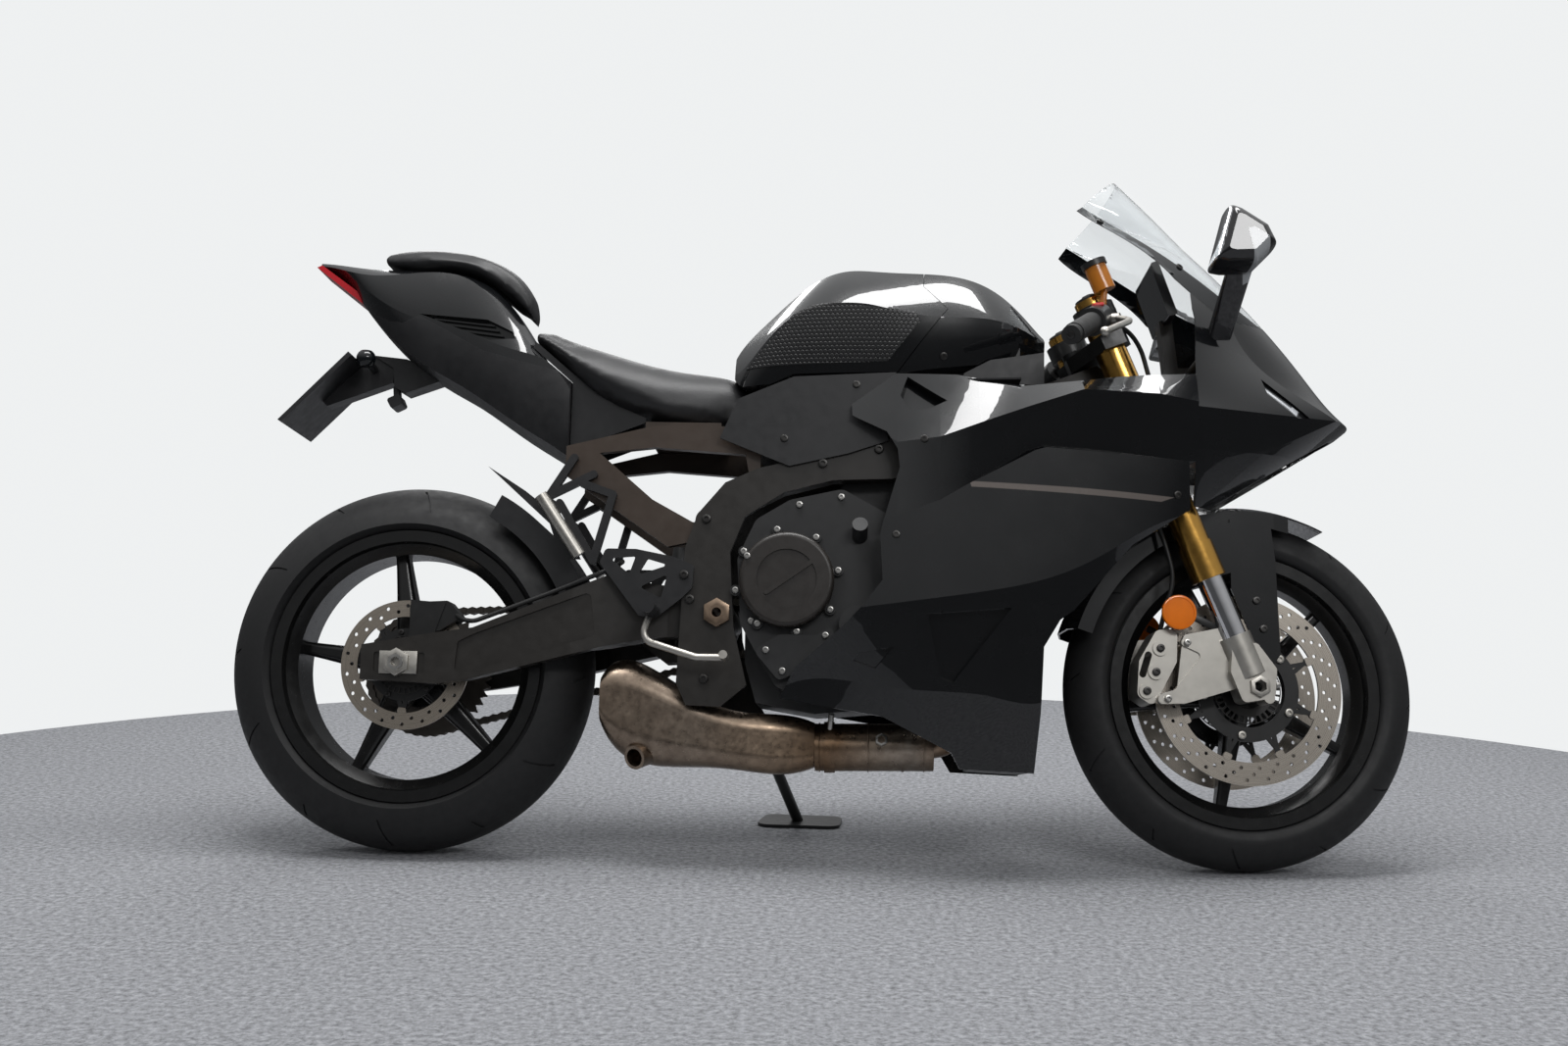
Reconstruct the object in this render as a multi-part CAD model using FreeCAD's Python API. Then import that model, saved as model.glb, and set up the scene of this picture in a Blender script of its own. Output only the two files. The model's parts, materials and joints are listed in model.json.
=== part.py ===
import FreeCAD, Part
import math
import os
from FreeCAD import Placement, Rotation, Vector

# The bike is drawn upright and pointing straight ahead: X forward from the rear axle, Y to the
# left, Z up from the ground. At the end the front end is turned and the whole bike is leaned
# on its side stand. Lengths are millimetres, angles degrees.

# Stance
wheelbase = 1420.0
drawn_wheelbase = 1420.0
stretch_end = 1000.0
rake = 22.6
trail = 94.0
lean_angle = 11.1
rest_steer = 6.5

# Wheels and tyres
front_axle_height = 300.0
rear_axle_height = 315.0
bead_radius = 218.5
flange_radius = 231.5
front_tyre_radius = 300.0
front_crown_radius = 61.0
front_tyre_half = 60.0
front_rim_half = 44.5
rear_tyre_radius = 315.0
rear_crown_radius = 92.0
rear_tyre_half = 90.0
rear_rim_half = 70.0
axle_radius = 12.5
axle_bore = 8.0
front_axle_reach = 112.0
rear_axle_right = 146.0
rear_axle_left = 156.0
running_clearance = 0.05
seat_gap = 0.3
spoke_count = 5

# Brakes
front_disc_radius = 160.0
front_disc_inner = 121.0
front_disc_face = 59.5
disc_thickness = 5.0
rear_disc_radius = 110.0
rear_disc_face = 72.5
disc_room = 5.0
drill_radius = 3.2
bobbin_radius = 7.5
hose_radius = 4.0
hose_bend = 400.0

# Final drive
chain_pitch = 15.875
rear_teeth = 43
front_teeth = 16
chain_line = 107.0
chain_half = 10.5
chain_plate = 2.2
chain_height = 14.0
link_waist = 0.31
roller_radius = 5.0
sprocket_thickness = 6.4
countershaft_x = 612.0
countershaft_z = 415.0

# Front fork
fork_half = 105.0
fork_outer_radius = 27.0
fork_inner_radius = 21.5
fork_top = 712.0
fork_gold_bottom = 195.0
head_low = 452.0
head_high = 610.0
bar_clamp_low = fork_top - 44.0
bar_clamp_height = 30.0
clamp_thickness = 26.0
stem_radius = 15.0
head_tube_radius = 34.0
bar_radius = 11.0
grip_radius = 17.0

# Frame and swingarm
pivot_x = 534.0
pivot_z = 408.0
pivot_radius = 12.0
pivot_bore = 8.0
pivot_stick = 12.0
plate_inner = 122.0
plate_outer = 136.0
engine_half = 94.0
arm_right_inner = 100.0
arm_right_outer = 132.0
arm_left_inner = 122.0
arm_left_outer = 144.0
muffler_outer = 118.0

# Bodywork
panel_wall = 4.0
cowl_wall = 5.0
screen_wall = 3.0
lens_wall = 4.0
lens_gap = 0.1
scoop_depth = 12.0
vent_depth = 18.0
recess_depth = 16.0
tail_slot_floor = 86.0
inner_panel_y = 121.0

front_axle_point = Vector(wheelbase, 0, front_axle_height)
rear_axle_point = Vector(0, 0, rear_axle_height)
X_AXIS = Vector(1, 0, 0)
Y_AXIS = Vector(0, 1, 0)
Z_AXIS = Vector(0, 0, 1)
rake_sin = math.sin(math.radians(rake))
rake_cos = math.cos(math.radians(rake))
steer_axis = Vector(-rake_sin, 0, rake_cos)
steer_forward = Vector(rake_cos, 0, rake_sin)
steer_ground = Vector(wheelbase + trail, 0, 0)


# Small shape helpers

def fused(first, *others):
    return first.fuse(list(others)).removeSplitter()


def polygon(points):
    return Part.makePolygon(list(points) + [points[0]])


def station(x):
    # Outlines are drawn at the drawn wheelbase; a longer bike stretches ahead of the swingarm.
    share = min(1.0, max(0.0, (x - pivot_x) / (stretch_end - pivot_x)))
    return x + (wheelbase - drawn_wheelbase) * share


def at(x, y, z):
    return Vector(station(x), y, z)


def xz_points(outline, y):
    return [at(x, y, z) for x, z in outline]


def prism_xz(outline, y_low, y_high):
    face = Part.Face(polygon(xz_points(outline, y_low)))
    return face.extrude(Vector(0, y_high - y_low, 0))


def prism_xy(outline, z_low, z_high):
    face = Part.Face(polygon([at(x, y, z_low) for x, y in outline]))
    return face.extrude(Vector(0, 0, z_high - z_low))


def bar_xz(start, end, width, y_low, y_high):
    # A flat bar between two points of the side view, with round ends.
    low = at(start[0], y_low, start[1])
    high = at(end[0], y_low, end[1])
    run = high - low
    across = run.cross(Y_AXIS).normalize() * (width / 2)
    depth = Vector(0, y_high - y_low, 0)
    face = Part.Face(polygon([low + across, high + across, high - across, low - across]))
    ends = [rod(point, point + depth, width / 2) for point in (low, high)]
    return fused(face.extrude(depth), *ends)


def swollen_wire(points, swell):
    # A closed wire through corners whose sides bow outwards by a share of their length.
    middle = Vector(0, 0, 0)
    for point in points:
        middle += point * (1 / len(points))
    edges = []
    for start, end in zip(points, points[1:] + points[:1]):
        half = (start + end) * 0.5
        along = (end - start).normalize()
        outward = half - middle
        outward = (outward - along * outward.dot(along)).normalize()
        peak = half + outward * (swell * (end - start).Length)
        edges.append(Part.Arc(start, peak, end).toShape())
    return Part.Wire(edges)


def creased_section(x, corners, swell=0.04):
    # A closed upright section from its right-hand corners, top to bottom.
    right = [at(x, -y, z) for y, z in corners]
    left = [at(x, y, z) for y, z in reversed(corners)]
    return swollen_wire(right + left, swell)


def rounded_wire(points, radius):
    # A closed wire of straight sides and tangent corner arcs.
    edges = []
    starts = []
    count = len(points)
    for index in range(count):
        corner = points[index]
        back = points[index - 1] - corner
        ahead = points[(index + 1) % count] - corner
        half = back.getAngle(ahead) / 2
        reach = min(radius / math.tan(half), 0.45 * back.Length, 0.45 * ahead.Length)
        arc_radius = reach * math.tan(half)
        back.normalize()
        ahead.normalize()
        inward = back + ahead
        inward.normalize()
        middle = corner + inward * (arc_radius / math.sin(half) - arc_radius)
        starts.append((corner + back * reach, middle, corner + ahead * reach))
    for index in range(count):
        enter, middle, leave = starts[index]
        following = starts[(index + 1) % count][0]
        edges.append(Part.Arc(enter, middle, leave).toShape())
        if (following - leave).Length > 0.01:
            edges.append(Part.LineSegment(leave, following).toShape())
    return Part.Wire(edges)


def rounded_prism_xz(outline, radius, y_low, y_high):
    face = Part.Face(rounded_wire(xz_points(outline, y_low), radius))
    return face.extrude(Vector(0, y_high - y_low, 0))


def largest(shape):
    # The main solid of a cut shape, without what the cut left over.
    return max(shape.Solids, key=lambda solid: solid.Volume)


def both_sides(shape):
    # The same piece mirrored to the other side of the bike.
    return shape.mirror(Vector(0, 0, 0), Y_AXIS)


def rod(start, end, radius):
    axis = end - start
    return Part.makeCylinder(radius, axis.Length, start, axis)


def pipe(start, end, radius, bore):
    return rod(start, end, radius).cut(rod(start, end, bore))


def bent_path(points, radius):
    # Straight runs joined by tangent arcs.
    edges = []
    last = points[0]
    for index in range(1, len(points) - 1):
        corner = points[index]
        back = points[index - 1] - corner
        ahead = points[index + 1] - corner
        half = back.getAngle(ahead) / 2
        reach = min(radius / math.tan(half), 0.45 * back.Length, 0.45 * ahead.Length)
        arc_radius = reach * math.tan(half)
        back.normalize()
        ahead.normalize()
        inward = back + ahead
        inward.normalize()
        middle = corner + inward * (arc_radius / math.sin(half) - arc_radius)
        enter = corner + back * reach
        leave = corner + ahead * reach
        edges.append(Part.LineSegment(last, enter).toShape())
        edges.append(Part.Arc(enter, middle, leave).toShape())
        last = leave
    edges.append(Part.LineSegment(last, points[-1]).toShape())
    return Part.Wire(edges)


def bent_rod(points, bend, radius):
    path = bent_path(points, bend)
    ring = Part.Wire(Part.makeCircle(radius, points[0], points[1] - points[0]))
    return path.makePipeShell([ring], True, False)


def smooth_edge(points):
    curve = Part.BSplineCurve()
    curve.interpolate(points)
    return curve.toShape()


def dome_section(x, half_width, z_low, z_high, belly=0.35, foot=0.8, shoulder=0.8):
    # A closed upright section: flat below, bulging sides, crowned top.
    height = z_high - z_low
    right = [at(x, -foot * half_width, z_low),
             at(x, -half_width, z_low + belly * height),
             at(x, -shoulder * half_width, z_low + 0.82 * height)]
    left = [Vector(point.x, -point.y, point.z) for point in reversed(right)]
    crown = smooth_edge(right + [at(x, 0, z_high)] + left)
    base = Part.LineSegment(left[-1], right[0]).toShape()
    return Part.Wire([crown, base])


def grown(outline, share):
    # The same outline, larger about its middle.
    x_mid = sum(x for x, z in outline) / len(outline)
    z_mid = sum(z for x, z in outline) / len(outline)
    return [(x_mid + (x - x_mid) * share, z_mid + (z - z_mid) * share) for x, z in outline]


def loft(wires, ruled=False):
    return Part.makeLoft(wires, True, ruled)


def on_steer_axis(distance):
    # A point on the steering axis, measured along it from the axle's own level.
    foot = front_axle_point - steer_ground
    along = foot.dot(steer_axis)
    return steer_ground + steer_axis * (along + distance)


def on_fork(distance, side=1):
    # A point on a fork leg's centre line, measured up from the axle.
    return front_axle_point + steer_axis * distance + Vector(0, side * fork_half, 0)


def pair(shape):
    return Part.makeCompound([shape, both_sides(shape)])


# Wheels

def tyre(centre, outer, crown, half_width, rim_half):
    # Crowned tread, rounded sidewalls, hollow inside where the rim closes it.
    rise = math.sqrt(crown ** 2 - half_width ** 2)
    shoulder = Vector(0, half_width, outer - crown + rise)
    middle_angle = math.atan2(half_width, rise) / 2
    upper = Vector(0, crown * math.sin(middle_angle), outer - crown + crown * math.cos(middle_angle))
    bead = Vector(0, rim_half - seat_gap, bead_radius + seat_gap)
    heel = Vector(0, bead.y, flange_radius + 1)
    wall_middle = Vector(0, rim_half + 0.62 * (half_width - rim_half), heel.z + 5)
    top = Vector(0, 0, outer)
    mirrored = [Vector(0, -point.y, point.z) for point in (heel, wall_middle, shoulder, upper)]
    wall = 12.0
    inner = [Vector(0, bead.y - wall, bead.z), Vector(0, half_width - wall, shoulder.z),
             Vector(0, half_width * 0.45, outer - wall - half_width * 0.12),
             Vector(0, -half_width * 0.45, outer - wall - half_width * 0.12),
             Vector(0, wall - half_width, shoulder.z), Vector(0, wall - bead.y, bead.z)]
    edges = [Part.LineSegment(bead, heel).toShape(), Part.Arc(heel, wall_middle, shoulder).toShape(),
             Part.Arc(shoulder, upper, top).toShape(),
             Part.Arc(top, mirrored[3], mirrored[2]).toShape(),
             Part.Arc(mirrored[2], mirrored[1], mirrored[0]).toShape()]
    chain = [mirrored[0], Vector(0, -bead.y, bead.z)] + list(reversed(inner)) + [bead]
    edges += [Part.LineSegment(a, b).toShape() for a, b in zip(chain, chain[1:])]
    ring = Part.Face(Part.Wire(edges)).revolve(Vector(0, 0, 0), Y_AXIS, 360)
    ring.translate(centre)
    return ring


def rim_barrel(rim_half):
    lip = 6.0
    wall = 5.0
    well = bead_radius - 20
    outer = [(rim_half + lip, flange_radius), (rim_half, flange_radius), (rim_half, bead_radius),
             (rim_half - 14, bead_radius - 2), (rim_half - 24, well)]
    inner = [(rim_half - 24 - wall / 2, well - wall), (rim_half - 12, bead_radius - 8),
             (rim_half + lip, bead_radius - 6)]
    points = outer + [(-y, r) for y, r in reversed(outer)]
    points += [(-y, r) for y, r in reversed(inner)] + inner
    wire = polygon([Vector(0, y, r) for y, r in points])
    return Part.Face(wire).revolve(Vector(0, 0, 0), Y_AXIS, 360)


def spoke_section(radius, width, depth, angle):
    corners = [Vector(radius, -depth / 2, -width / 2), Vector(radius, depth / 2, -width / 2),
               Vector(radius, depth / 2, width / 2), Vector(radius, -depth / 2, width / 2)]
    wire = rounded_wire(corners, 0.3 * min(width, depth))
    wire.rotate(Vector(0, 0, 0), Y_AXIS, -angle)
    return wire


def wheel_rim(centre, rim_half, hub_half, hub_radius, first_angle, root, tip):
    barrel = rim_barrel(rim_half)
    hub = Part.makeCylinder(hub_radius, 2 * hub_half, Vector(0, -hub_half, 0), Y_AXIS)
    spokes = []
    for number in range(spoke_count):
        angle = first_angle + number * 360 / spoke_count
        spokes.append(loft([spoke_section(hub_radius - 8, root[0], root[1], angle),
                            spoke_section(0.55 * bead_radius, (root[0] + tip[0]) / 2 - 4,
                                          (root[1] + tip[1]) / 2, angle),
                            spoke_section(bead_radius - 18, tip[0], tip[1], angle)]))
    wheel = fused(barrel, hub, *spokes)
    bore = Part.makeCylinder(axle_radius + running_clearance, 4 * hub_half,
                             Vector(0, -2 * hub_half, 0), Y_AXIS)
    wheel = wheel.cut(bore)
    wheel.translate(centre)
    return wheel


def circle_at(radius, x=0.0, z=0.0):
    return Part.Wire(Part.makeCircle(radius, Vector(x, z, 0)))


def drilled_ring(outer, inner, rows, per_row, thickness):
    # A flat ring with rows of drilled holes, each row turned a little from the last.
    wires = [circle_at(outer), circle_at(inner)]
    for row in range(rows):
        radius = inner + (outer - inner) * (row + 1) / (rows + 1)
        for number in range(per_row):
            angle = 2 * math.pi * (number + row / rows) / per_row
            wires.append(circle_at(drill_radius, radius * math.cos(angle), radius * math.sin(angle)))
    face = Part.makeFace(Part.makeCompound(wires), "Part::FaceMakerBullseye")
    return face.extrude(Vector(0, 0, thickness))


def disc_rotor(outer, inner, hub_ring, bobbins, face, rows, per_row):
    # One brake disc, standing from face outwards: drilled ring with bobbins, and the armed carrier.
    ring = drilled_ring(outer, inner, rows, per_row, disc_thickness)
    carrier = Part.makeCylinder(hub_ring + 10, disc_thickness)
    buttons = []
    for number in range(bobbins):
        angle = 360 / bobbins * number + 19
        for lean in (-14, 14):
            arm = Part.makeBox(inner - hub_ring - 6, 7, disc_thickness, Vector(0, -3.5, 0))
            arm.rotate(Vector(0, 0, 0), Z_AXIS, lean)
            arm.translate(Vector(hub_ring, -lean * 0.55, 0))
            arm.rotate(Vector(0, 0, 0), Z_AXIS, angle)
            carrier = carrier.fuse(arm)
        button = Part.makeCylinder(bobbin_radius, disc_thickness + 1.6, Vector(inner - 4, 0, -0.8))
        button.rotate(Vector(0, 0, 0), Z_AXIS, angle)
        buttons.append(button)
    ring = fused(ring, *buttons)
    inside = Part.makeCylinder(inner - 1, disc_thickness)
    carrier = carrier.common(inside).cut(Part.makeCompound(buttons))
    carrier = largest(carrier.cut(Part.makeCylinder(hub_ring - 14, 60, Vector(0, 0, -30))))
    disc = Part.makeCompound([ring, carrier])
    disc.rotate(Vector(0, 0, 0), X_AXIS, -90)
    disc.translate(Vector(0, face, 0))
    return disc


def front_discs():
    left = disc_rotor(front_disc_radius, front_disc_inner, 77, 8, front_disc_face, 3, 26)
    both = Part.makeCompound(left.Solids + both_sides(left).Solids)
    both.translate(front_axle_point)
    return both


def front_rim():
    rim = wheel_rim(front_axle_point, front_rim_half, front_disc_face - 8, 34, 44, (40, 46), (19, 26))
    bosses = []
    for side in (-1, 1):
        ring = Part.makeCylinder(84, 9, Vector(0, side * front_disc_face, 0), Y_AXIS * -side)
        bosses.append(ring.cut(Part.makeCylinder(62, 9, Vector(0, side * front_disc_face, 0),
                                                 Y_AXIS * -side)))
        hub_end = Part.makeCylinder(36, 14, Vector(0, side * front_disc_face, 0), Y_AXIS * -side)
        bosses.append(hub_end)
        for number in range(spoke_count):
            web = Part.makeBox(48, front_disc_face, 16, Vector(30, 0, -8))
            web.translate(Vector(0, min(0, side * front_disc_face), 0))
            web.rotate(Vector(0, 0, 0), Y_AXIS, -(44 + number * 360 / spoke_count))
            bosses.append(web)
    bore = Part.makeCylinder(axle_radius + running_clearance, 300, Vector(0, -150, 0), Y_AXIS)
    extra = [boss.cut(bore) for boss in bosses]
    for piece in extra:
        piece.translate(front_axle_point)
    return fused(rim, *extra)


def rear_rim():
    rim = wheel_rim(rear_axle_point, rear_rim_half, rear_disc_face, 46, 27, (52, 60), (22, 34))
    carrier = Part.makeCylinder(66, chain_line - sprocket_thickness / 2 - 40, Vector(0, 40, 0), Y_AXIS)
    carrier = carrier.cut(Part.makeCylinder(axle_radius + running_clearance, 200, Vector(0, 0, 0), Y_AXIS))
    carrier.translate(rear_axle_point)
    return fused(rim, carrier)


def rear_disc():
    disc = both_sides(disc_rotor(rear_disc_radius, 82, 52, 5, rear_disc_face, 2, 18))
    disc.translate(rear_axle_point)
    return disc


def sprocket_radius(teeth):
    return chain_pitch / (2 * math.sin(math.pi / teeth))


def sprocket(teeth, centre, hole):
    # Round-bottomed teeth between the chain's rollers.
    pitch_radius = sprocket_radius(teeth)
    outline = []
    for number in range(teeth):
        for share, radius in ((0.0, pitch_radius - 5.2), (0.32, pitch_radius + 1.0),
                              (0.42, pitch_radius + 5.4), (0.58, pitch_radius + 5.4),
                              (0.68, pitch_radius + 1.0)):
            angle = 2 * math.pi * (number + share) / teeth
            outline.append((radius * math.cos(angle), radius * math.sin(angle)))
    wheel = prism_xz(outline, -sprocket_thickness / 2, sprocket_thickness / 2)
    wheel = wheel.cut(Part.makeCylinder(hole, 40, Vector(0, -20, 0), Y_AXIS))
    wheel.translate(centre)
    return wheel


def rear_sprocket():
    centre = rear_axle_point + Vector(0, chain_line, 0)
    wheel = sprocket(rear_teeth, centre, 52)
    hub = Part.makeCylinder(60, sprocket_thickness, centre - Y_AXIS * (sprocket_thickness / 2), Y_AXIS)
    hub = hub.cut(Part.makeCylinder(30, 40, centre - Y_AXIS * 20, Y_AXIS))
    return fused(wheel, hub)


def front_axle():
    return pipe(front_axle_point - Y_AXIS * front_axle_reach, front_axle_point + Y_AXIS * front_axle_reach,
                axle_radius, axle_bore)


# Chain

def chain_runs():
    # End points of the two straight runs, from the rear sprocket to the front one.
    rear = rear_axle_point
    front = at(countershaft_x, 0, countershaft_z)
    span = front - rear
    r_rear = sprocket_radius(rear_teeth)
    r_front = sprocket_radius(front_teeth)
    tilt = math.atan2(span.z, span.x)
    squeeze = math.asin((r_rear - r_front) / span.Length)
    runs = []
    for side in (1, -1):
        angle = tilt - side * squeeze + side * math.pi / 2
        normal = Vector(math.cos(angle), 0, math.sin(angle))
        runs.append((rear + normal * r_rear, front + normal * r_front))
    return runs


def chain_wraps():
    # The two wraps round the sprockets, front one first: centre, radius, first and swept angle.
    upper, lower = chain_runs()
    wraps = []
    countershaft = at(countershaft_x, 0, countershaft_z)
    for centre, start, end, teeth in ((countershaft, upper[1], lower[1], front_teeth),
                                      (rear_axle_point, lower[0], upper[0], rear_teeth)):
        begin = math.atan2(start.z - centre.z, start.x - centre.x)
        finish = math.atan2(end.z - centre.z, end.x - centre.x)
        wraps.append((centre, sprocket_radius(teeth), begin, (begin - finish) % (2 * math.pi)))
    return wraps


def chain_place(distance):
    # The point and outward normal at a distance along the pitch line, from the top rear tangent.
    upper, lower = chain_runs()
    front, rear = chain_wraps()
    run = (upper[1] - upper[0]).Length
    if distance < run:
        return straight_place(upper[0], upper[1], distance)
    distance -= run
    if distance < front[1] * front[3]:
        return wrapped_place(front, distance)
    distance -= front[1] * front[3]
    if distance < run:
        return straight_place(lower[1], lower[0], distance)
    return wrapped_place(rear, distance - run)


def straight_place(start, end, distance):
    along = (end - start).normalize()
    return start + along * distance, along.cross(Y_AXIS)


def wrapped_place(wrap, distance):
    centre, radius, begin = wrap[:3]
    turned = begin - distance / radius
    out = Vector(math.cos(turned), 0, math.sin(turned))
    return centre + out * radius, out


def chain_length():
    upper = chain_runs()[0]
    return 2 * (upper[1] - upper[0]).Length + sum(wrap[1] * wrap[3] for wrap in chain_wraps())


def chain_links():
    # The even number of links that fits the loop best.
    return 2 * round(chain_length() / chain_pitch / 2)


def chain_row(y_low, y_high):
    # One row of link plates as a waisted band: full height at each pin, narrow between pins.
    links = chain_links()
    half_link = chain_length() / (2 * links)
    edges = {1: [], -1: []}
    for number in range(2 * links):
        point, out = chain_place(number * half_link)
        reach = chain_height * (0.5 if number % 2 == 0 else link_waist)
        for side in (1, -1):
            place = point + out * (side * reach)
            edges[side].append(Vector(place.x, y_low, place.z))
    outer = Part.Face(polygon(edges[1])).extrude(Vector(0, y_high - y_low, 0))
    inner = Part.Face(polygon(edges[-1])).extrude(Vector(0, y_high - y_low, 0))
    return outer.cut(inner)


def chain():
    # Two rows of plates, tied by the rollers that show on the straight runs.
    inner_half = sprocket_thickness / 2 + 1.0
    rows = []
    for side in (-1, 1):
        low, high = sorted((chain_line + side * inner_half,
                            chain_line + side * (inner_half + 2 * chain_plate)))
        rows.append(chain_row(low, high))
    upper = chain_runs()[0]
    run = (upper[1] - upper[0]).Length
    wrap = math.pi * sprocket_radius(front_teeth)
    links = chain_links()
    pins = []
    for number in range(0, links, 2):
        distance = number * chain_length() / links
        along_top = 60 < distance < run - 40
        along_bottom = run + wrap + 20 < distance < 2 * run + wrap - 80
        if along_top or along_bottom:
            centre = chain_place(distance)[0] + Vector(0, chain_line, 0)
            pins.append(rod(centre - Y_AXIS * chain_half, centre + Y_AXIS * chain_half, roller_radius))
    return fused(rows[0], rows[1], *pins)


# Front end, drawn straight ahead

def clamp_plate(distance):
    # One fork yoke: a waisted plate around both legs and the stem.
    centre = on_steer_axis(distance)
    offset = (on_fork(distance, 0) - centre).dot(steer_forward)
    leg = fork_outer_radius + 11
    outline = [(-leg * 0.75, -36), (-leg * 0.4 - 8, 0), (-leg * 0.75, 36),
               (offset - leg * 0.9, fork_half - 10),
               (offset - 20, fork_half + leg), (offset + 20, fork_half + leg),
               (offset + leg, fork_half), (offset + 14, 42), (offset + 14, -42),
               (offset + leg, -fork_half), (offset + 20, -fork_half - leg),
               (offset - 20, -fork_half - leg), (offset - leg * 0.9, -fork_half + 10)]
    face = Part.Face(polygon([Vector(x, y, 0) for x, y in outline]))
    plate = face.extrude(Vector(0, 0, clamp_thickness))
    plate.rotate(Vector(0, 0, 0), Y_AXIS, -rake)
    plate.translate(centre)
    for side in (-1, 1):
        leg_hole = rod(on_fork(distance - 50, side), on_fork(distance + 90, side),
                       fork_outer_radius + running_clearance)
        plate = plate.cut(leg_hole)
    return plate


def triple_clamps():
    low = clamp_plate(head_low - clamp_thickness - 6)
    high = clamp_plate(head_high + 6)
    stem = rod(on_steer_axis(head_low - clamp_thickness), on_steer_axis(head_high + clamp_thickness + 18),
               stem_radius)
    nut = rod(on_steer_axis(head_high + 6 + clamp_thickness), on_steer_axis(head_high + clamp_thickness + 20),
              21)
    return fused(low, high, stem, nut)


def fork_outers():
    legs = []
    for side in (-1, 1):
        tube = rod(on_fork(fork_gold_bottom + 62, side), on_fork(fork_top, side), fork_outer_radius)
        foot = rod(on_fork(fork_gold_bottom, side), on_fork(fork_gold_bottom + 62, side),
                   fork_outer_radius + 2.5)
        leg = fused(tube, foot).cut(rod(on_fork(fork_gold_bottom - 5, side),
                                        on_fork(fork_top - 8, side),
                                        fork_inner_radius + running_clearance))
        legs.append(leg)
    return Part.makeCompound(legs)


def fork_inners():
    legs = []
    for side in (-1, 1):
        legs.append(rod(on_fork(62, side), on_fork(fork_gold_bottom + 140, side), fork_inner_radius))
    return Part.makeCompound(legs)


def fork_castings():
    # Axle lugs with the webbed rear arm that carries the caliper.
    legs = []
    for side in (-1, 1):
        low, high = sorted((side * (fork_half - 22), side * (fork_half + 20)))
        socket = rod(on_fork(20, side), on_fork(92, side), fork_inner_radius + 6)
        lug = rounded_prism_xz([(1392, 272), (1446, 282), (1450, 330), (1418, 372), (1376, 372),
                                (1372, 322)], 10, low, high)
        clamp = rod(at(1436, low, 281), at(1436, high, 281), 9)
        low, high = sorted((side * (fork_half + 4), side * (fork_half - 8)))
        arm = rounded_prism_xz([(1372, 400), (1300, 384), (1292, 368), (1330, 352), (1282, 292),
                                (1256, 284), (1262, 268), (1300, 270), (1396, 300)], 7, low, high)
        web_low, web_high = sorted((side * (fork_half + 1), side * (fork_half - 5)))
        web = prism_xz([(1296, 366), (1376, 384), (1390, 300), (1284, 276)], web_low, web_high)
        ear = bar_xz((1262, 276), (1300, 285), 16, low, high)
        leg = fused(socket, lug, clamp, arm, web, ear)
        leg = leg.cut(rod(on_fork(62, side), on_fork(200, side), fork_inner_radius + running_clearance))
        hole = Part.makeCylinder(axle_radius + running_clearance, 400,
                                 front_axle_point - Y_AXIS * 200, Y_AXIS)
        legs.append(leg.cut(hole))
    return Part.makeCompound(legs)


def front_calipers():
    # Two-part bodies over the disc, with round piston housings and a bridge window.
    pieces = []
    for side in (-1, 1):
        low, high = sorted((side * 38, side * 96))
        body = rounded_prism_xz([(1256, 392), (1292, 396), (1290, 340), (1250, 264), (1222, 282),
                                 (1226, 340)], 12, low, high)
        housings = []
        for x, z in ((1262, 362), (1254, 322), (1238, 290)):
            housings.append(rod(at(x, side * 94, z), at(x, side * 99, z), 13))
        slot_low = front_disc_face - disc_room
        slot_high = front_disc_face + disc_thickness + disc_room
        slot = Part.makeCylinder(front_disc_radius + disc_room, slot_high - slot_low,
                                 front_axle_point + Y_AXIS * (side * slot_low), Y_AXIS * side)
        window = bar_xz((1232, 318), (1242, 350), 12, low, high)
        pieces.append(fused(body.cut(window), *housings).cut(slot))
    return Part.makeCompound(pieces)


def mudguard():
    # A U-section shell round the tyre's top, beaked at the front, with blades down the fork.
    inner = front_tyre_radius + 14
    wall = 3.5
    half = 72.0
    skirt = 34.0
    section = [(-half, inner - skirt), (-half, inner - 8), (-half * 0.5, inner + wall),
               (half * 0.5, inner + wall), (half, inner - 8), (half, inner - skirt),
               (half - wall, inner - skirt), (half - wall, inner - 10), (half * 0.5 - 1, inner),
               (1 - half * 0.5, inner), (wall - half, inner - 10), (wall - half, inner - skirt)]
    start_angle = 60.0
    sweep = 102.0
    face = Part.Face(polygon([Vector(r, y, 0) for y, r in section]))
    face.rotate(Vector(0, 0, 0), Y_AXIS, -start_angle)
    shell = face.revolve(Vector(0, 0, 0), Y_AXIS, -sweep)
    shell.translate(front_axle_point)
    shell = shell.cut(prism_xz([(1620, 590), (1577, 584), (1530, 566), (1480, 566), (1480, 480), (1620, 480)],
                               -100, 100))
    beak = prism_xy([(1470, -90), (1470, -70), (1540, -66), (1590, -40), (1590, -90)], 400, 700)
    shell = shell.cut(beak).cut(both_sides(beak))
    pieces = [largest(shell)]
    top = front_axle_height + inner - skirt + 10
    for side in (-1, 1):
        low, high = sorted((side * (half - 1), side * (fork_half - fork_outer_radius - 2.8)))
        pieces.append(prism_xz([(1392, top), (1462, top), (1470, 520), (1474, 360), (1458, 338),
                                (1428, 380), (1392, 470)], low, high))
        pieces.append(prism_xz([(1308, top - 30), (1400, top - 4), (1400, 500), (1335, 480)], low, high))
    return fused(*pieces)


def bar_points(side):
    inner = on_fork(bar_clamp_low + bar_clamp_height / 2, side) + Vector(26.5, -5 * side, 12.5)
    return inner, inner + Vector(-121, 235 * side, -119)


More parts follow.
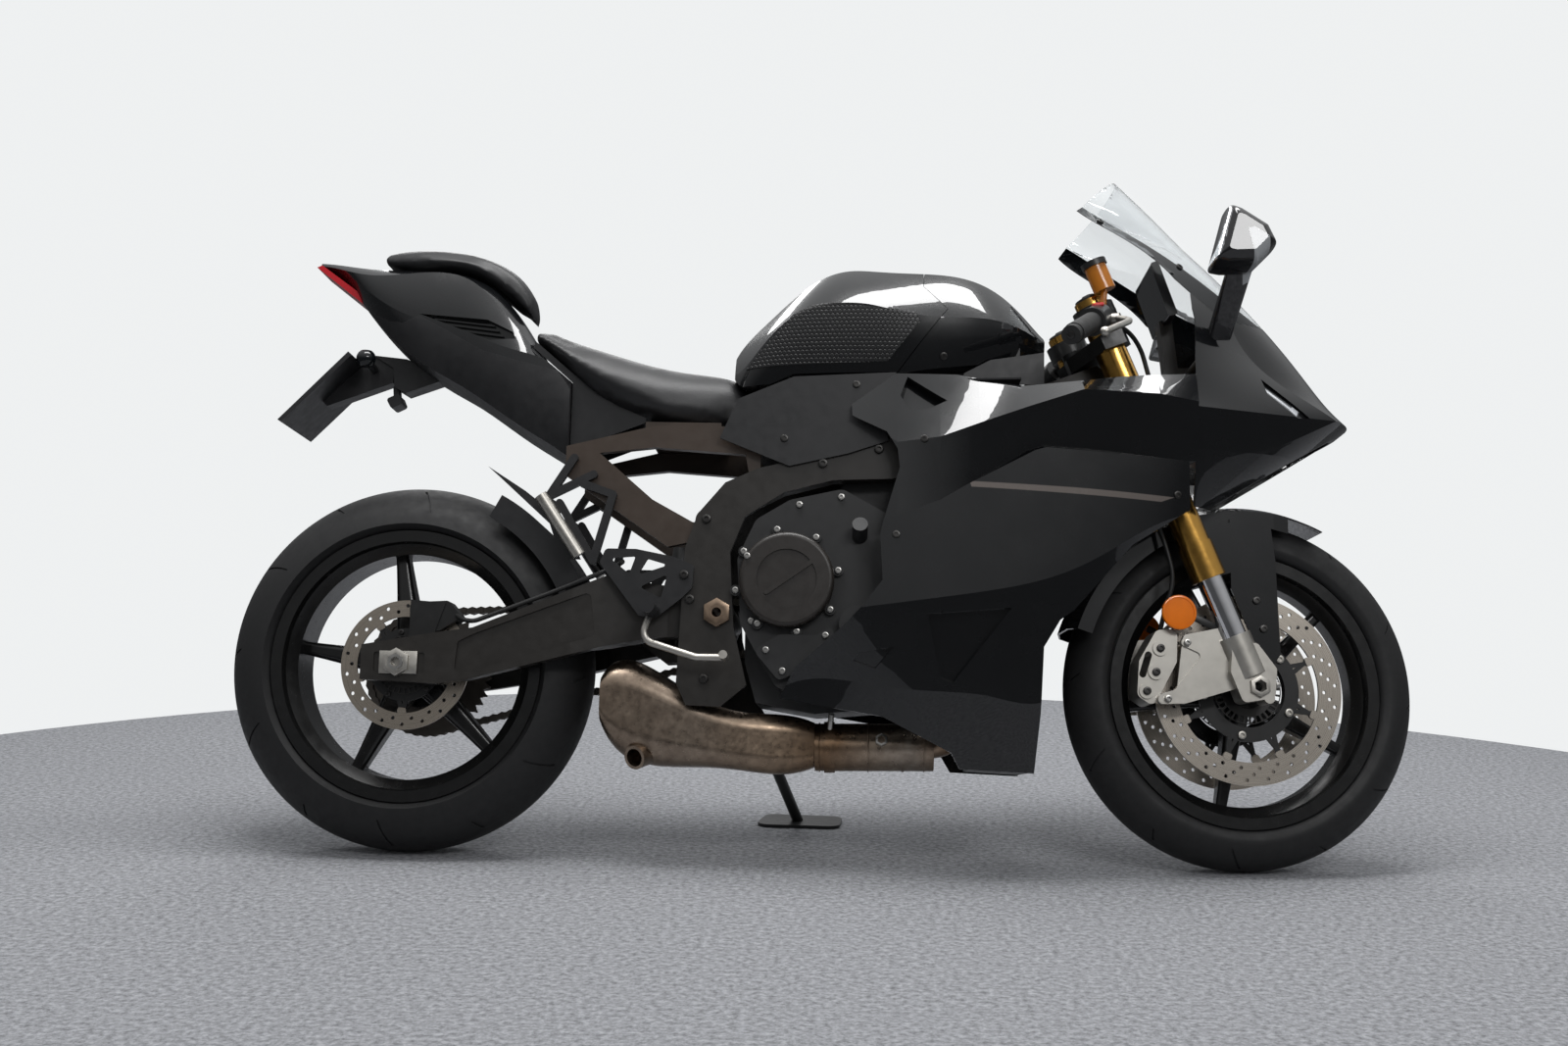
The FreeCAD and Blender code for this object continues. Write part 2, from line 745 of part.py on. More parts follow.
def handlebars():
    # Clip-on bars: collar with pinch bolt, tapered switch pod, ribbed grip and end weight.
    pieces = []
    for side in (-1, 1):
        inner, outer = bar_points(side)
        run = outer - inner
        bar = rod(inner, outer, bar_radius)
        grip = rod(inner + run * 0.5, outer - run * 0.04, grip_radius)
        end = rod(outer - run * 0.04, outer + run * 0.03, grip_radius - 1.5)
        flange = rod(inner + run * 0.485, inner + run * 0.505, grip_radius + 7)
        pod = rod(inner + run * 0.28, inner + run * 0.46, 23)
        collar = pipe(on_fork(bar_clamp_low, side), on_fork(bar_clamp_low + bar_clamp_height, side),
                      fork_outer_radius + 9, fork_outer_radius + running_clearance)
        lug_start = on_fork(bar_clamp_low + bar_clamp_height / 2, side) + Vector(30, 0, 0)
        lug = rod(lug_start, inner, 9)
        hole = rod(on_fork(600, side), on_fork(760, side), fork_outer_radius + running_clearance)
        pieces.append(fused(bar, grip, end, flange, pod, collar, lug).cut(hole))
    return Part.makeCompound(pieces)


def lever(side):
    inner, outer = bar_points(side)
    run = outer - inner
    start = inner + run * 0.38 + Vector(34, 0, 4)
    tip = inner + run * 0.98 + Vector(52, 0, 6)
    knee = inner + run * 0.5 + Vector(66, 0, 6)
    blade = bent_rod([start, knee, tip], 40, 5.5)
    ball = Part.makeSphere(8, tip)
    perch = rod(inner + run * 0.34 + Vector(20, 0, 0), start + Vector(6, 0, 0), 9)
    return fused(blade, ball, perch)


def hand_levers():
    grips = handlebars()
    return Part.makeCompound([lever(side).cut(grips) for side in (-1, 1)])


def brake_reservoir():
    base = bar_points(-1)[0] + Vector(-21, -50, 19)
    cup = rod(base, base + steer_axis * 44, 19)
    cap = rod(base + steer_axis * 44, base + steer_axis * 54, 22)
    inner, outer = bar_points(-1)
    foot = rod(base + steer_axis * 4, inner + (outer - inner) * 0.22 + Vector(0, 0, 4), 6)
    return largest(fused(cup, cap, foot).cut(handlebars()))


# Frame, engine and running gear

spar_outline = [(486, 254), (469, 290), (474, 417), (477, 516), (497, 575), (542, 629), (599, 655),
                (723, 683), (828, 711), (1000, 790), (1160, 872), (1215, 830), (1200, 740), (1000, 690),
                (823, 640), (724, 636), (642, 614), (577, 572), (553, 510), (562, 385), (586, 289),
                (543, 252)]
spar_plan = [(440, plate_outer), (860, plate_outer), (990, 118), (1100, 70), (1225, 46), (1225, 24),
             (1085, 40), (992, engine_half + seat_gap), (640, engine_half + seat_gap),
             (600, plate_inner), (440, plate_inner)]


def main_frame():
    side = prism_xz(spar_outline, 0, 200).common(prism_xy(spar_plan, 200, 1000))
    head = pipe(on_steer_axis(head_low), on_steer_axis(head_high), head_tube_radius,
                stem_radius + running_clearance)
    room = rod(on_steer_axis(head_low - 30), on_steer_axis(head_high + 30), head_tube_radius - 2)
    side = side.cut(room)
    side = side.cut(rod(on_steer_axis(head_low - 60), on_steer_axis(head_low), 140))
    side = side.cut(rod(on_steer_axis(head_high), on_steer_axis(head_high + 60), 140))
    upper_cross = rod(Vector(512, -plate_inner, 566), Vector(512, plate_inner, 566), 20)
    lower_cross = rod(Vector(515, -plate_inner, 298), Vector(515, plate_inner, 298), 12)
    frame = fused(side, both_sides(side), head, upper_cross, lower_cross)
    pivot_hole = rod(Vector(pivot_x, -300, pivot_z), Vector(pivot_x, 300, pivot_z),
                     pivot_radius + running_clearance)
    return frame.cut(pivot_hole)


def pivot_shaft():
    right = Vector(pivot_x, -plate_outer, pivot_z)
    shaft = pipe(right - Y_AXIS * pivot_stick, Vector(pivot_x, plate_outer + 8, pivot_z), pivot_radius,
                 pivot_bore)
    nut = pipe(right - Y_AXIS * (pivot_stick - 1), right - Y_AXIS * seat_gap, 21, pivot_bore)
    return fused(shaft, nut)


def swingarm():
    # Box-section arms, sculpted sides and a forked, slotted end for the chain adjusters.
    right_side = prism_xz([(-62, 286), (-62, 344), (58, 366), (124, 376), (250, 428), (345, 468),
                           (430, 456), (556, 440), (560, 408), (556, 376), (430, 366), (355, 352),
                           (119, 289), (67, 281)], -200, 0)
    right_plan = prism_xy([(-70, -arm_right_outer), (290, -arm_right_outer), (450, -plate_inner + 5),
                           (600, -plate_inner + 5), (600, -84), (400, -60), (352, -60),
                           (322, -arm_right_inner), (-70, -arm_right_inner)], 200, 600)
    left_side = prism_xz([(-62, 286), (-62, 344), (58, 358), (200, 380), (300, 412), (420, 424),
                          (556, 434), (560, 408), (552, 378), (430, 352), (300, 322), (119, 289),
                          (67, 281)], 0, 200)
    left_plan = prism_xy([(-70, arm_left_outer), (250, arm_left_outer), (420, plate_inner - 5),
                          (600, plate_inner - 5), (600, 84), (400, 60), (352, 60), (322, 97),
                          (250, 100), (190, arm_left_inner), (-70, arm_left_inner)], 200, 600)
    bridge = prism_xz([(348, 366), (352, 436), (404, 430), (404, 366)], -70, 70)
    tube = rod(at(pivot_x, -plate_inner + 4, pivot_z), at(pivot_x, plate_inner - 4, pivot_z), 27)
    arm = fused(right_side.common(right_plan), left_side.common(left_plan), bridge, tube)
    for side, face in ((-1, arm_right_outer), (1, arm_left_outer)):
        low, high = sorted((side * (face - 4), side * (face + 10)))
        arm = arm.cut(rounded_prism_xz([(96, 302), (100, 352), (128, 366), (246, 412), (320, 440),
                                        (330, 366), (120, 302)], 8, low, high))
        low, high = sorted((side * (face - 3), side * (face + 10)))
        arm = arm.cut(rounded_prism_xz([(-40, 298), (-40, 332), (46, 332), (46, 298)], 4, low, high))
    for x, z, radius in ((0, rear_axle_height, axle_radius), (pivot_x, pivot_z, pivot_radius)):
        arm = arm.cut(rod(Vector(x, -300, z), Vector(x, 300, z), radius + running_clearance))
    arm = arm.cut(rod(Vector(455, 0, 300), Vector(455, 0, 520), 42))
    link = prism_xz([(372, 380), (404, 380), (470, 356), (468, 332), (440, 330)], 15.3, 23)
    return fused(arm, link, both_sides(link))


def rear_axle():
    shaft = pipe(rear_axle_point - Y_AXIS * rear_axle_right, rear_axle_point + Y_AXIS * rear_axle_left,
                 axle_radius, axle_bore)
    nut = pipe(rear_axle_point - Y_AXIS * (rear_axle_right - 2),
               rear_axle_point - Y_AXIS * (arm_right_outer + seat_gap), 20, axle_bore)
    return fused(shaft, nut)


def shock():
    low = Vector(452, 0, 346)
    high = Vector(478.7, 0, 566)
    run = high - low
    eyes = [rod(point - Y_AXIS * 15, point + Y_AXIS * 15, 13) for point in (low, high)]
    spring = rod(low + run * 0.16, low + run * 0.84, 30)
    return fused(rod(low, high, 10), spring, *eyes)


def engine_block():
    case = prism_xz([(600, 262), (580, 330), (578, 480), (620, 560), (760, 622), (960, 560), (950, 420),
                     (880, 262), (700, 246)], -engine_half, engine_half)
    cylinders = prism_xz([(700, 560), (770, 690), (900, 716), (985, 640), (960, 520)], -engine_half,
                         engine_half)
    sprocket_shaft = rod(at(countershaft_x, engine_half, countershaft_z),
                         at(countershaft_x, chain_line + 16, countershaft_z), 12)
    return fused(case, cylinders, sprocket_shaft)


def engine_cover_right():
    # Clutch side: stepped cover with a sunk centre, bolt bosses, sensor and water pump.
    plate = rounded_prism_xz([(612, 322), (574, 390), (566, 500), (596, 566), (652, 600), (740, 620),
                              (850, 560), (866, 430), (800, 330), (706, 290), (640, 280)], 24,
                             -142, -engine_half)
    centre = at(650, -142, 463)
    clutch = Part.makeCylinder(79, 30, centre, -Y_AXIS)
    clutch = clutch.makeFillet(8, [clutch.Edges[0]])
    sink = Part.makeCylinder(50, 10, centre - Y_AXIS * 27, -Y_AXIS)
    rib = bar_xz((617, 440), (690, 492), 7, -172, -168)
    bosses = []
    for number in range(8):
        angle = math.radians(12 + 45 * number)
        foot = centre + Vector(87 * math.cos(angle), 4, 87 * math.sin(angle))
        bosses.append(rod(foot, foot - Y_AXIS * 12, 9))
    water = rounded_prism_xz([(597, 345), (640, 372), (700, 372), (734, 392), (716, 330), (640, 296)], 10,
                             -158, -142)
    pump = rod(at(768, -140, 392), at(768, -164, 392), 30)
    sensor = rod(at(770, -140, 540), at(770, -176, 556), 13)
    return fused(plate, clutch.cut(sink), rib, water, pump, sensor, *bosses)


def engine_cover_left():
    # Generator side: stepped round cover with bolt bosses.
    plate = rounded_prism_xz([(668, 300), (668, 480), (700, 580), (850, 580), (880, 430), (820, 320),
                              (720, 280)], 24, engine_half, 132)
    centre = at(760, 132, 440)
    generator = Part.makeCylinder(78, 24, centre, Y_AXIS)
    cap = Part.makeCylinder(44, 30, centre, Y_AXIS)
    bosses = []
    for number in range(7):
        angle = math.radians(360 / 7 * number)
        foot = centre + Vector(84 * math.cos(angle), -4, 84 * math.sin(angle))
        bosses.append(rod(foot, foot + Y_AXIS * 12, 8))
    return fused(plate, generator, cap, *bosses)


def sprocket_cover():
    return rounded_prism_xz([(596, 352), (575, 380), (575, 452), (596, 482), (640, 490), (664, 470),
                             (664, 366), (640, 350)], 14, 124, 132)


def front_sprocket():
    centre = at(countershaft_x, chain_line, countershaft_z)
    return sprocket(front_teeth, centre, 12)


def radiator():
    # Finned core between two end tanks, seen from the front behind the wheel.
    core = prism_xz([(1030, 350), (1062, 352), (1044, 640), (1012, 638)], -150, 150)
    rows = 12
    for number in range(rows):
        height = 372 + number * 22
        groove = prism_xz([(1046, height), (1070, height + 1), (1070, height + 11), (1046, height + 10)],
                          -128, 128)
        core = core.cut(groove)
    return core


def exhaust_headers():
    # Three header pipes that gather into a collector with a clamp band before the silencer.
    pipes = []
    for y in (-78, 0, 78):
        route = [at(972, y, 600), at(1000, y, 560), at(990, y, 420), at(976, y, 300),
                 at(940, 0.5 * y - 10, 205), at(860, 0.3 * y - 24, 190)]
        pipes.append(bent_rod(route, 70, 19))
    collector = rod(at(900, -42, 196), at(700, -42, 192), 40)
    clamp = rod(at(716, -42, 192.3), at(734, -42, 192.7), 43)
    seam = rod(at(846, -42, 194.9), at(850, -42, 195), 41.5)
    return largest(fused(collector, clamp, seam, *pipes).cut(engine_block()).cut(muffler()))


def muffler():
    # Squat silencer under the engine, its right wall just inside the frame plate, outlet below.
    sections = []
    for x, width, low, high in ((340, 62, 226, 300), (380, 78, 170, 332), (470, 82, 154, 290),
                                (560, 74, 152, 250), (699.7, 46, 158, 232)):
        middle = width - muffler_outer if x < 600 else -42
        corners = [at(x, middle - width, low), at(x, middle + width, low),
                   at(x, middle + width, high), at(x, middle - width, high)]
        sections.append(rounded_wire(corners, 0.3 * (high - low)))
    can = loft(sections)
    outlet = pipe(at(420, -84, 176), at(402, -116, 166), 20, 15)
    bore = rod(at(426, -74, 179), at(402, -116, 166), 15)
    return largest(fused(can, outlet).cut(bore))


# Bodywork

def fuel_tank():
    return tank_body().common(prism_xz(tank_outline, -200, 200))


def tank_body():
    # Tank and cover in one form: flat top, knee crease, sides drawn in below it.
    return loft([creased_section(548, [(30, 868), (56, 834), (62, 806)]),
                 creased_section(590, [(44, 918), (100, 866), (100, 806)]),
                 creased_section(640, [(62, 962), (126, 914), (112, 806)]),
                 creased_section(700, [(78, 1003), (142, 938), (120, 806)]),
                 creased_section(780, [(88, 1014), (150, 938), (126, 812)]),
                 creased_section(880, [(88, 1010), (146, 920), (132, 830)]),
                 creased_section(960, [(74, 1002), (130, 922), (118, 842)]),
                 creased_section(1030, [(50, 966), (100, 916), (90, 860)]),
                 creased_section(1086, [(24, 914), (54, 900), (48, 884)])])


tank_outline = [(540, 838), (556, 812), (581, 794), (652, 822), (829, 825), (913, 936), (872, 981),
                (876, 1060), (540, 1060)]


cover_outline = [(830.2, 824), (914.2, 936), (873.2, 981), (877.2, 1060), (1100, 1060), (1100, 800),
                 (830.2, 800)]


def tank_cover():
    cover = tank_body().common(prism_xz(cover_outline, -200, 200))
    for number in range(3):
        slot = bar_xz((1010 + 16 * number, 990), (1002 + 16 * number, 1010), 5, -200, 200)
        cover = cover.cut(slot.common(Part.makeBox(200, 60, 400, at(960, -30, 800))))
    return largest(cover)


def tail_body():
    return loft([creased_section(-206, [(14, 1038), (17, 1033), (17, 1030), (12, 1027)]),
                 creased_section(-120, [(48, 1020), (62, 1006), (62, 986), (44, 958)]),
                 creased_section(-40, [(64, 1012), (84, 1000), (96, 930), (84, 872)]),
                 creased_section(80, [(64, 1000), (88, 990), (104, 892), (90, 796)]),
                 creased_section(150, [(56, 950), (88, 925), (107, 866), (95, 750)]),
                 creased_section(200, [(52, 876), (86, 868), (108, 852), (97, 718)]),
                 creased_section(267.7, [(60, 804), (96, 806), (108, 792), (98, 676)])])


tail_gloss_edge = [(-230, 1000), (-58, 914), (-32, 909), (-3, 922), (112, 860), (178, 841), (300, 812)]


tail_slot = [(-2, 924), (32, 921), (118, 915), (162, 895), (168, 882), (123, 878)]


def rider_seat():
    return loft([dome_section(196, 92, 886, 917), dome_section(280, 122, 818, 878),
                 dome_section(380, 130, 757, 850), dome_section(470, 112, 738, 836),
                 dome_section(545, 80, 742, 830), dome_section(592, 60, 770, 800)]).cut(fuel_tank())


def pillion_seat():
    return loft([dome_section(-84, 56, 1024, 1045), dome_section(0, 84, 1014, 1051),
                 dome_section(96, 84, 1004, 1038), dome_section(150, 66, 962, 1016),
                 dome_section(184, 44, 926, 972)]).cut(tail_body())


def tail_fairing():
    # Gloss upper shell with a finned side slot, and the satin undertray below it.
    body = tail_body()
    upper = body.common(prism_xz(tail_gloss_edge + [(300, 1100), (-230, 1100)], -200, 200))
    lower = body.common(prism_xz(tail_gloss_edge + [(300, 600), (-230, 600)], -200, 200))
    slot = prism_xz(tail_slot, -140, -tail_slot_floor)
    fins = [bar_xz((24 + 14 * number, 917 - 9 * number), (128 + 8 * number, 906 - 9 * number), 2.4,
                   -tail_slot_floor - 8, -tail_slot_floor + 2) for number in range(3)]
    for side in (slot, both_sides(slot)):
        upper = upper.cut(side)
    fin_set = fins + [both_sides(fin) for fin in fins]
    upper = largest(fused(largest(upper), *fin_set))
    return Part.makeCompound([upper, largest(lower.cut(slot).cut(both_sides(slot)))])


def tail_light():
    strip = prism_xz([(-205, 1022), (-120, 957), (-60, 896), (-52, 902), (-112, 966), (-196, 1026)], -45, 45)
    return strip.cut(tail_body())


def plate_holder():
    # Short arm under the tail, blank plate, two stalked turn lamps and a plate lamp.
    arm = prism_xz([(-100, 868), (-40, 862), (20, 838), (20, 822), (-40, 800), (-60, 812), (-64, 846)],
                   -22, 22)
    board = prism_xz([(-244, 735), (-238, 731), (-121, 852), (-127, 858)], -90, 90)
    stay = prism_xz([(-190, 786), (-100, 868), (-64, 846), (-64, 820), (-180, 776)], -16, 16)
    signals = []
    for side in (-1, 1):
        signals.append(rod(at(-98, side * 10, 842), at(-98, side * 64, 846), 7))
        housing = Part.makeSphere(17, at(-98, side * 78, 848))
        signals.append(housing.common(Part.makeBox(60, 60, 28, at(-128, min(side * 50, side * 110), 834))))
    lamp = rounded_prism_xz([(-74, 790), (-52, 800), (-44, 782), (-64, 772)], 5, -20, 20)
    neck = bar_xz((-60, 812), (-58, 790), 10, -10, 10)
    return largest(fused(arm, board, stay, neck, lamp, *signals).cut(tail_body()))


def lower_hose(side):
    # From the splitter under the lower clamp, behind the fork leg, to the caliper.
    return bent_rod([at(1256, side * 4, 673), at(1240, side * 62, 640), at(1268, side * 97, 560),
                     at(1288, side * 99, 480), at(1272, side * 92, 425), at(1264, side * 84, 386)],
                    hose_bend, hose_radius)


def front_hoses():
    # One hose from the master cylinder to a splitter, then one to each caliper. Each arc is as
    # large as its two runs allow, as hose_bend is larger than any of them.
    inner, outer = bar_points(-1)
    start = inner + (outer - inner) * 0.2 + Vector(8, 0, -6)
    main = bent_rod([start, at(1234, -92, 900), at(1262, -86, 800), at(1304, -64, 705),
                     at(1262, -4, 674)], hose_bend, hose_radius)
    block = rod(on_steer_axis(402) + steer_forward * 24, on_steer_axis(420) + steer_forward * 24, 9)
    loom = fused(block, main, lower_hose(-1), lower_hose(1))
    return largest(loom.cut(handlebars()).cut(front_calipers()).cut(triple_clamps()))


def rear_hose():
    # From the foot control over the swingarm's top to the rear caliper.
    hose = bent_rod([at(372, -plate_outer - seat_gap, 492), at(372, -123, 492), at(345, -123, 477),
                     at(250, -123, 437), at(124, -123, 387), at(104, -116, 390), at(84, -88, 402)],
                    hose_bend, hose_radius)
    return largest(hose.cut(rear_caliper()))


def side_cover_right():
    return prism_xz([(560, 772), (654, 812), (827, 822), (798, 766), (816, 704), (748, 681), (649, 658),
                     (531, 704)], -plate_outer - seat_gap - 6, -plate_outer - seat_gap)


def subframe():
    outer = plate_inner
    inner = plate_inner - 18
    upper = prism_xz([(268, 672), (268, 690), (420, 728), (560, 728), (600, 700), (600, 640), (582, 640),
                      (574, 680), (420, 690)], inner, outer)
    lower = prism_xz([(268, 640), (268, 690), (312, 690), (418, 600), (492, 560), (492, 530),
                      (446, 520)], inner, outer)
    rail = fused(upper, lower)
    cross = rod(Vector(280, -inner, 684), Vector(280, inner, 684), 12)
    tray = prism_xz([(400, 722), (400, 737.7), (530, 737.7), (530, 722)], -inner, inner)
    return fused(rail, both_sides(rail), cross, tray).cut(rider_seat())


def airbox():
    box = prism_xz([(650, 722), (650, 830), (1040, 880), (1040, 840), (960, 740), (900, 722)], -90, 90)
    for neighbour in (fuel_tank(), tank_cover(), main_frame(), engine_block()):
        box = box.cut(neighbour)
    return largest(box)


def panel_section(x, corners, outer, inner):
    # A strip at one station, its outer and inner faces set in from the drawn corners.
    face = [at(x, outer - y, z) for y, z in corners]
    back = [at(x, inner - y, z - 0.3 * (inner - outer)) for y, z in reversed(corners)]
    return polygon(face + back)


def side_skin(outer=0.0, inner=panel_wall):
    # The big flank: a flat upper field, a crease, and a lower field drawn in towards the belly.
    return loft([panel_section(x, corners, outer, inner) for x, corners in (
        (600, [(196, 705), (198, 395), (170, 240), (150, 130)]),
        (802, [(198, 705), (212, 418), (184, 290), (148, 130)]),
        (900, [(202, 705), (215, 432), (187, 282), (145, 130)]),
        (983, [(209, 705), (216, 445), (186, 276), (142, 130)]),
        (1070, [(213, 705), (213, 465), (180, 268), (138, 130)]),
        (1180, [(208, 705), (204, 517), (168, 400), (130, 130)]),
        (1322, [(188, 705), (172, 585), (150, 480), (120, 130)]))])


side_outline = [(901, 594), (941, 618), (1055, 678), (1073, 683), (1309.6, 668), (1312, 589), (1215, 527),
                (1119, 417), (1097, 401), (1071, 357), (1068, 251), (1060, 154), (939, 158),
                (924, 184), (811, 240), (643, 266), (667, 316), (745, 384), (776, 417), (808, 460),
                (803, 535), (808, 559)]
vent_outline = [(882, 406), (1018, 418), (925, 296), (905, 302)]


scoop_outline = [(772, 342), (828, 352), (798, 316), (762, 328)]


def pocketed(panel, skin, outline, depth):
    # Sinks a pocket with its own floor and walls into a thin panel.
    block = skin(0.0, depth + panel_wall).common(prism_xz(grown(outline, 1.12), -300, -60))
    room = skin(-30.0, depth).common(prism_xz(outline, -300, -60))
    return largest(fused(panel, block).cut(room))


def side_fairing_right():
    panel = side_skin(0.0, panel_wall).common(prism_xz(side_outline, -300, -60))
    panel = pocketed(panel, side_skin, scoop_outline, scoop_depth)
    return pocketed(panel, side_skin, vent_outline, vent_depth)


def upper_skin(outer=0.0, inner=panel_wall):
    # The shoulder over the flank: a shelf that falls to a ridge, then a side drawn in to the duct.
    return loft([panel_section(x, corners, outer, inner) for x, corners in (
        (740, [(148, 775), (156, 752), (172, 560)]),
        (830, [(150, 822), (182, 694), (196, 540)]),
        (900, [(147, 822), (197, 701), (194, 570)]),
        (965, [(146, 816), (205, 724), (188, 600)]),
        (1046, [(158, 801), (211, 752), (184, 650)]),
        (1135, [(170, 806), (215, 781), (184, 660)]),
        (1258, [(184, 818), (215, 775), (184, 655)]),
        (1381, [(186, 821), (208, 753), (176, 655)]))], True)


upper_outline = [(753, 763), (826, 818), (930, 818), (1042, 797), (1199, 811), (1321.7, 815.4),
                 (1321.7, 669), (1309.6, 668.4), (1180, 674), (1073, 675), (983, 640), (901, 594.4),
                 (808, 559.4), (834, 651), (830, 683), (812, 713), (754, 742)]


recess_outline = [(846, 812), (912, 768), (880, 752), (849, 750), (834, 778)]


def belly_pan():
    floor = prism_xz([(962, 160), (1058, 156), (1058, 164), (962, 168)], -200, 200)
    return max(floor.cut(side_skin()).cut(both_sides(side_skin())).Solids,
               key=lambda solid: -abs(solid.CenterOfMass.y))


def nose_cowl():
    low, high = front_skin(cowl_wall)
    cowl = fused(low, high).common(prism_xz(cowl_outline, -300, 300))
    for side in (-1, 1):
        cowl = cowl.cut(prism_xz(lamp_outline, min(side * 70, side * 260), max(side * 70, side * 260)))
    return largest(cowl)


def headlamps():
    # A slim lens in each cheek, set a little under the paint.
    lens = front_skin(lens_wall, 1.2 * cowl_wall + lens_gap)[1]
    return pair(lens.common(prism_xz(grown(lamp_outline, 1.1), -260, -60)))


def upper_fairing_right():
    # Shoulder panel with its recess, and the satin inner panel beside the fork.
    outer = upper_skin(0.0, panel_wall).common(prism_xz(upper_outline, -300, -60))
    outer = pocketed(outer, upper_skin, recess_outline, recess_depth)
    inner = prism_xz([(942, 808), (942, 826), (987, 850), (1078, 864), (1078, 808)],
                     -inner_panel_y - 3, -inner_panel_y)
    ledge = prism_xy([(942, -150), (942, -inner_panel_y), (1036, -inner_panel_y), (1036, -164)], 808, 811)
    return outer, largest(fused(inner, ledge).cut(outer))


def front_band(z, rear, cheek, tip, wall):
    # A U seen from above, open to the rear: flat cheeks and a round front.
    def half(offset):
        right_rear = at(rear[0], offset - rear[1], z)
        right_cheek = at(cheek[0] - 0.5 * offset, 1.2 * offset - cheek[1], z)
        nose = at(tip - offset, 0, z)
        left_cheek = Vector(right_cheek.x, -right_cheek.y, z)
        left_rear = Vector(right_rear.x, -right_rear.y, z)
        return right_rear, right_cheek, nose, left_cheek, left_rear
    a, b, c, d, e = half(0.0)
    p, q, r, s, t = half(wall)
    return Part.Wire([Part.LineSegment(a, b).toShape(), Part.Arc(b, c, d).toShape(),
                      Part.LineSegment(d, e).toShape(), Part.LineSegment(e, t).toShape(),
                      Part.LineSegment(t, s).toShape(), Part.Arc(s, r, q).toShape(),
                      Part.LineSegment(q, p).toShape(), Part.LineSegment(p, a).toShape()])


wing_height = 757.0


lower_bands = ((600, (1322, 150), (1336, 140), 1400), (690, (1322, 186), (1440, 146), 1530),
               (wing_height, (1322, 206), (1572, 104), 1612))


upper_bands = ((wing_height, (1322, 206), (1572, 104), 1612), (800, (1322, 194), (1500, 116), 1574),
               (850, (1322, 184), (1437, 114), 1538), (936, (1322, 160), (1391, 106), 1470),
               (1041, (1236, 152), (1317, 96), 1370), (1111, (1131, 140), (1168, 114), 1300),
               (1200, (1090, 112), (1128, 96), 1213))


def front_skin(wall, inset=0.0):
    # The whole face of the bike in two lofts that meet at the wing's edge.
    lofts = []
    for bands, ruled in ((lower_bands, True), (upper_bands, False)):
        wires = [front_band(z, (rear[0], rear[1] - inset), (cheek[0] - 0.5 * inset, cheek[1] - inset),
                            tip - inset, wall) for z, rear, cheek, tip in bands]
        lofts.append(loft(wires, ruled))
    return lofts


cowl_outline = [(1322, 592), (1350, 599), (1575, 734), (1640, 764), (1640, 925), (1402, 925), (1385, 925),
                (1322, 966)]


lamp_outline = [(1441, 822), (1524, 756), (1500, 755), (1449, 794)]


def windscreen():
    screen = front_skin(screen_wall)[1]
    screen = screen.common(prism_xz([(1131, 1110), (1147, 1070), (1284, 996), (1322, 966.6), (1385, 925.6),
                                   (1640, 925.6), (1640, 1198), (1216, 1198), (1149, 1130)], -300, 300))
    return largest(screen)


mirror_outline = [(1351, 1063), (1325, 965), (1346, 961), (1395, 963), (1428, 997), (1414, 1027),
                  (1368, 1057)]


def mirror_right():
    # A faceted housing on a folded arm.
    sections = []
    for y, share in ((-236, 0.55), (-254, 0.92), (-300, 1.0), (-336, 0.9), (-352, 0.6)):
        corners = [at(x, y, z) for x, z in grown(mirror_outline, share)]
        sections.append(rounded_wire(corners, 5))
    housing = loft(sections)
    foot = rounded_wire([at(1352, -146, 884), at(1390, -146, 884), at(1386, -150, 908),
                         at(1350, -150, 908)], 6)
    head = rounded_wire([at(1362, -258, 972), at(1404, -258, 972), at(1400, -262, 990),
                         at(1362, -262, 990)], 6)
    arm = loft([foot, head])
    return largest(fused(housing, arm).cut(nose_cowl()).cut(windscreen()))


def dash():
    return rounded_prism_xz([(1296, 942), (1264, 1036), (1278, 1041), (1312, 946)], 5, -84, 84)


def fairing_stay():
    # Casting from the steering head that carries the dash, the nose and the screen.
    beam = prism_xz([(1180, 752), (1300, 822), (1352, 850), (1352, 866), (1322, 866), (1312, 954),
                     (1290, 950), (1300, 858), (1180, 800)], -20, 20)
    cross = rod(at(1342, -230, 852), at(1342, 230, 852), 9)
    room = rod(on_steer_axis(head_low - 30), on_steer_axis(head_high + 30), head_tube_radius + seat_gap)
    return largest(fused(beam, cross).cut(room).cut(nose_cowl()).cut(dash()))


def hugger():
    # Short rear mudguard: a curved shell with a side fin and feet on the swingarm.
    inner = rear_tyre_radius + 14
    wall = 3.0
    half = 91.0
    section = [(-half, inner - 40), (-half, inner), (half, inner), (half, inner - 40)]
    outer = [(half + wall, inner - 40), (half + wall, inner + wall), (-half - wall, inner + wall),
             (-half - wall, inner - 40)]
    face = Part.Face(polygon([Vector(r, y, 0) for y, r in section + outer]))
    face.rotate(Vector(0, 0, 0), Y_AXIS, -22)
    shell = face.revolve(Vector(0, 0, 0), Y_AXIS, -40)
    shell.translate(rear_axle_point)
    fin = prism_xz([(129, 658), (150, 640), (240, 560), (262, 500), (296, 499), (262, 566), (196, 616)],
                   -half - wall, -half)
    ear = prism_xz([(276, 439.3), (312, 454.5), (312, 462), (276, 448)], -arm_right_inner - 16, -half)
    foot = prism_xz([(300, 438), (300, 446), (366, 441), (366, 436.3)], -40, 40)
    return largest(fused(shell, fin, ear, foot).cut(swingarm()))


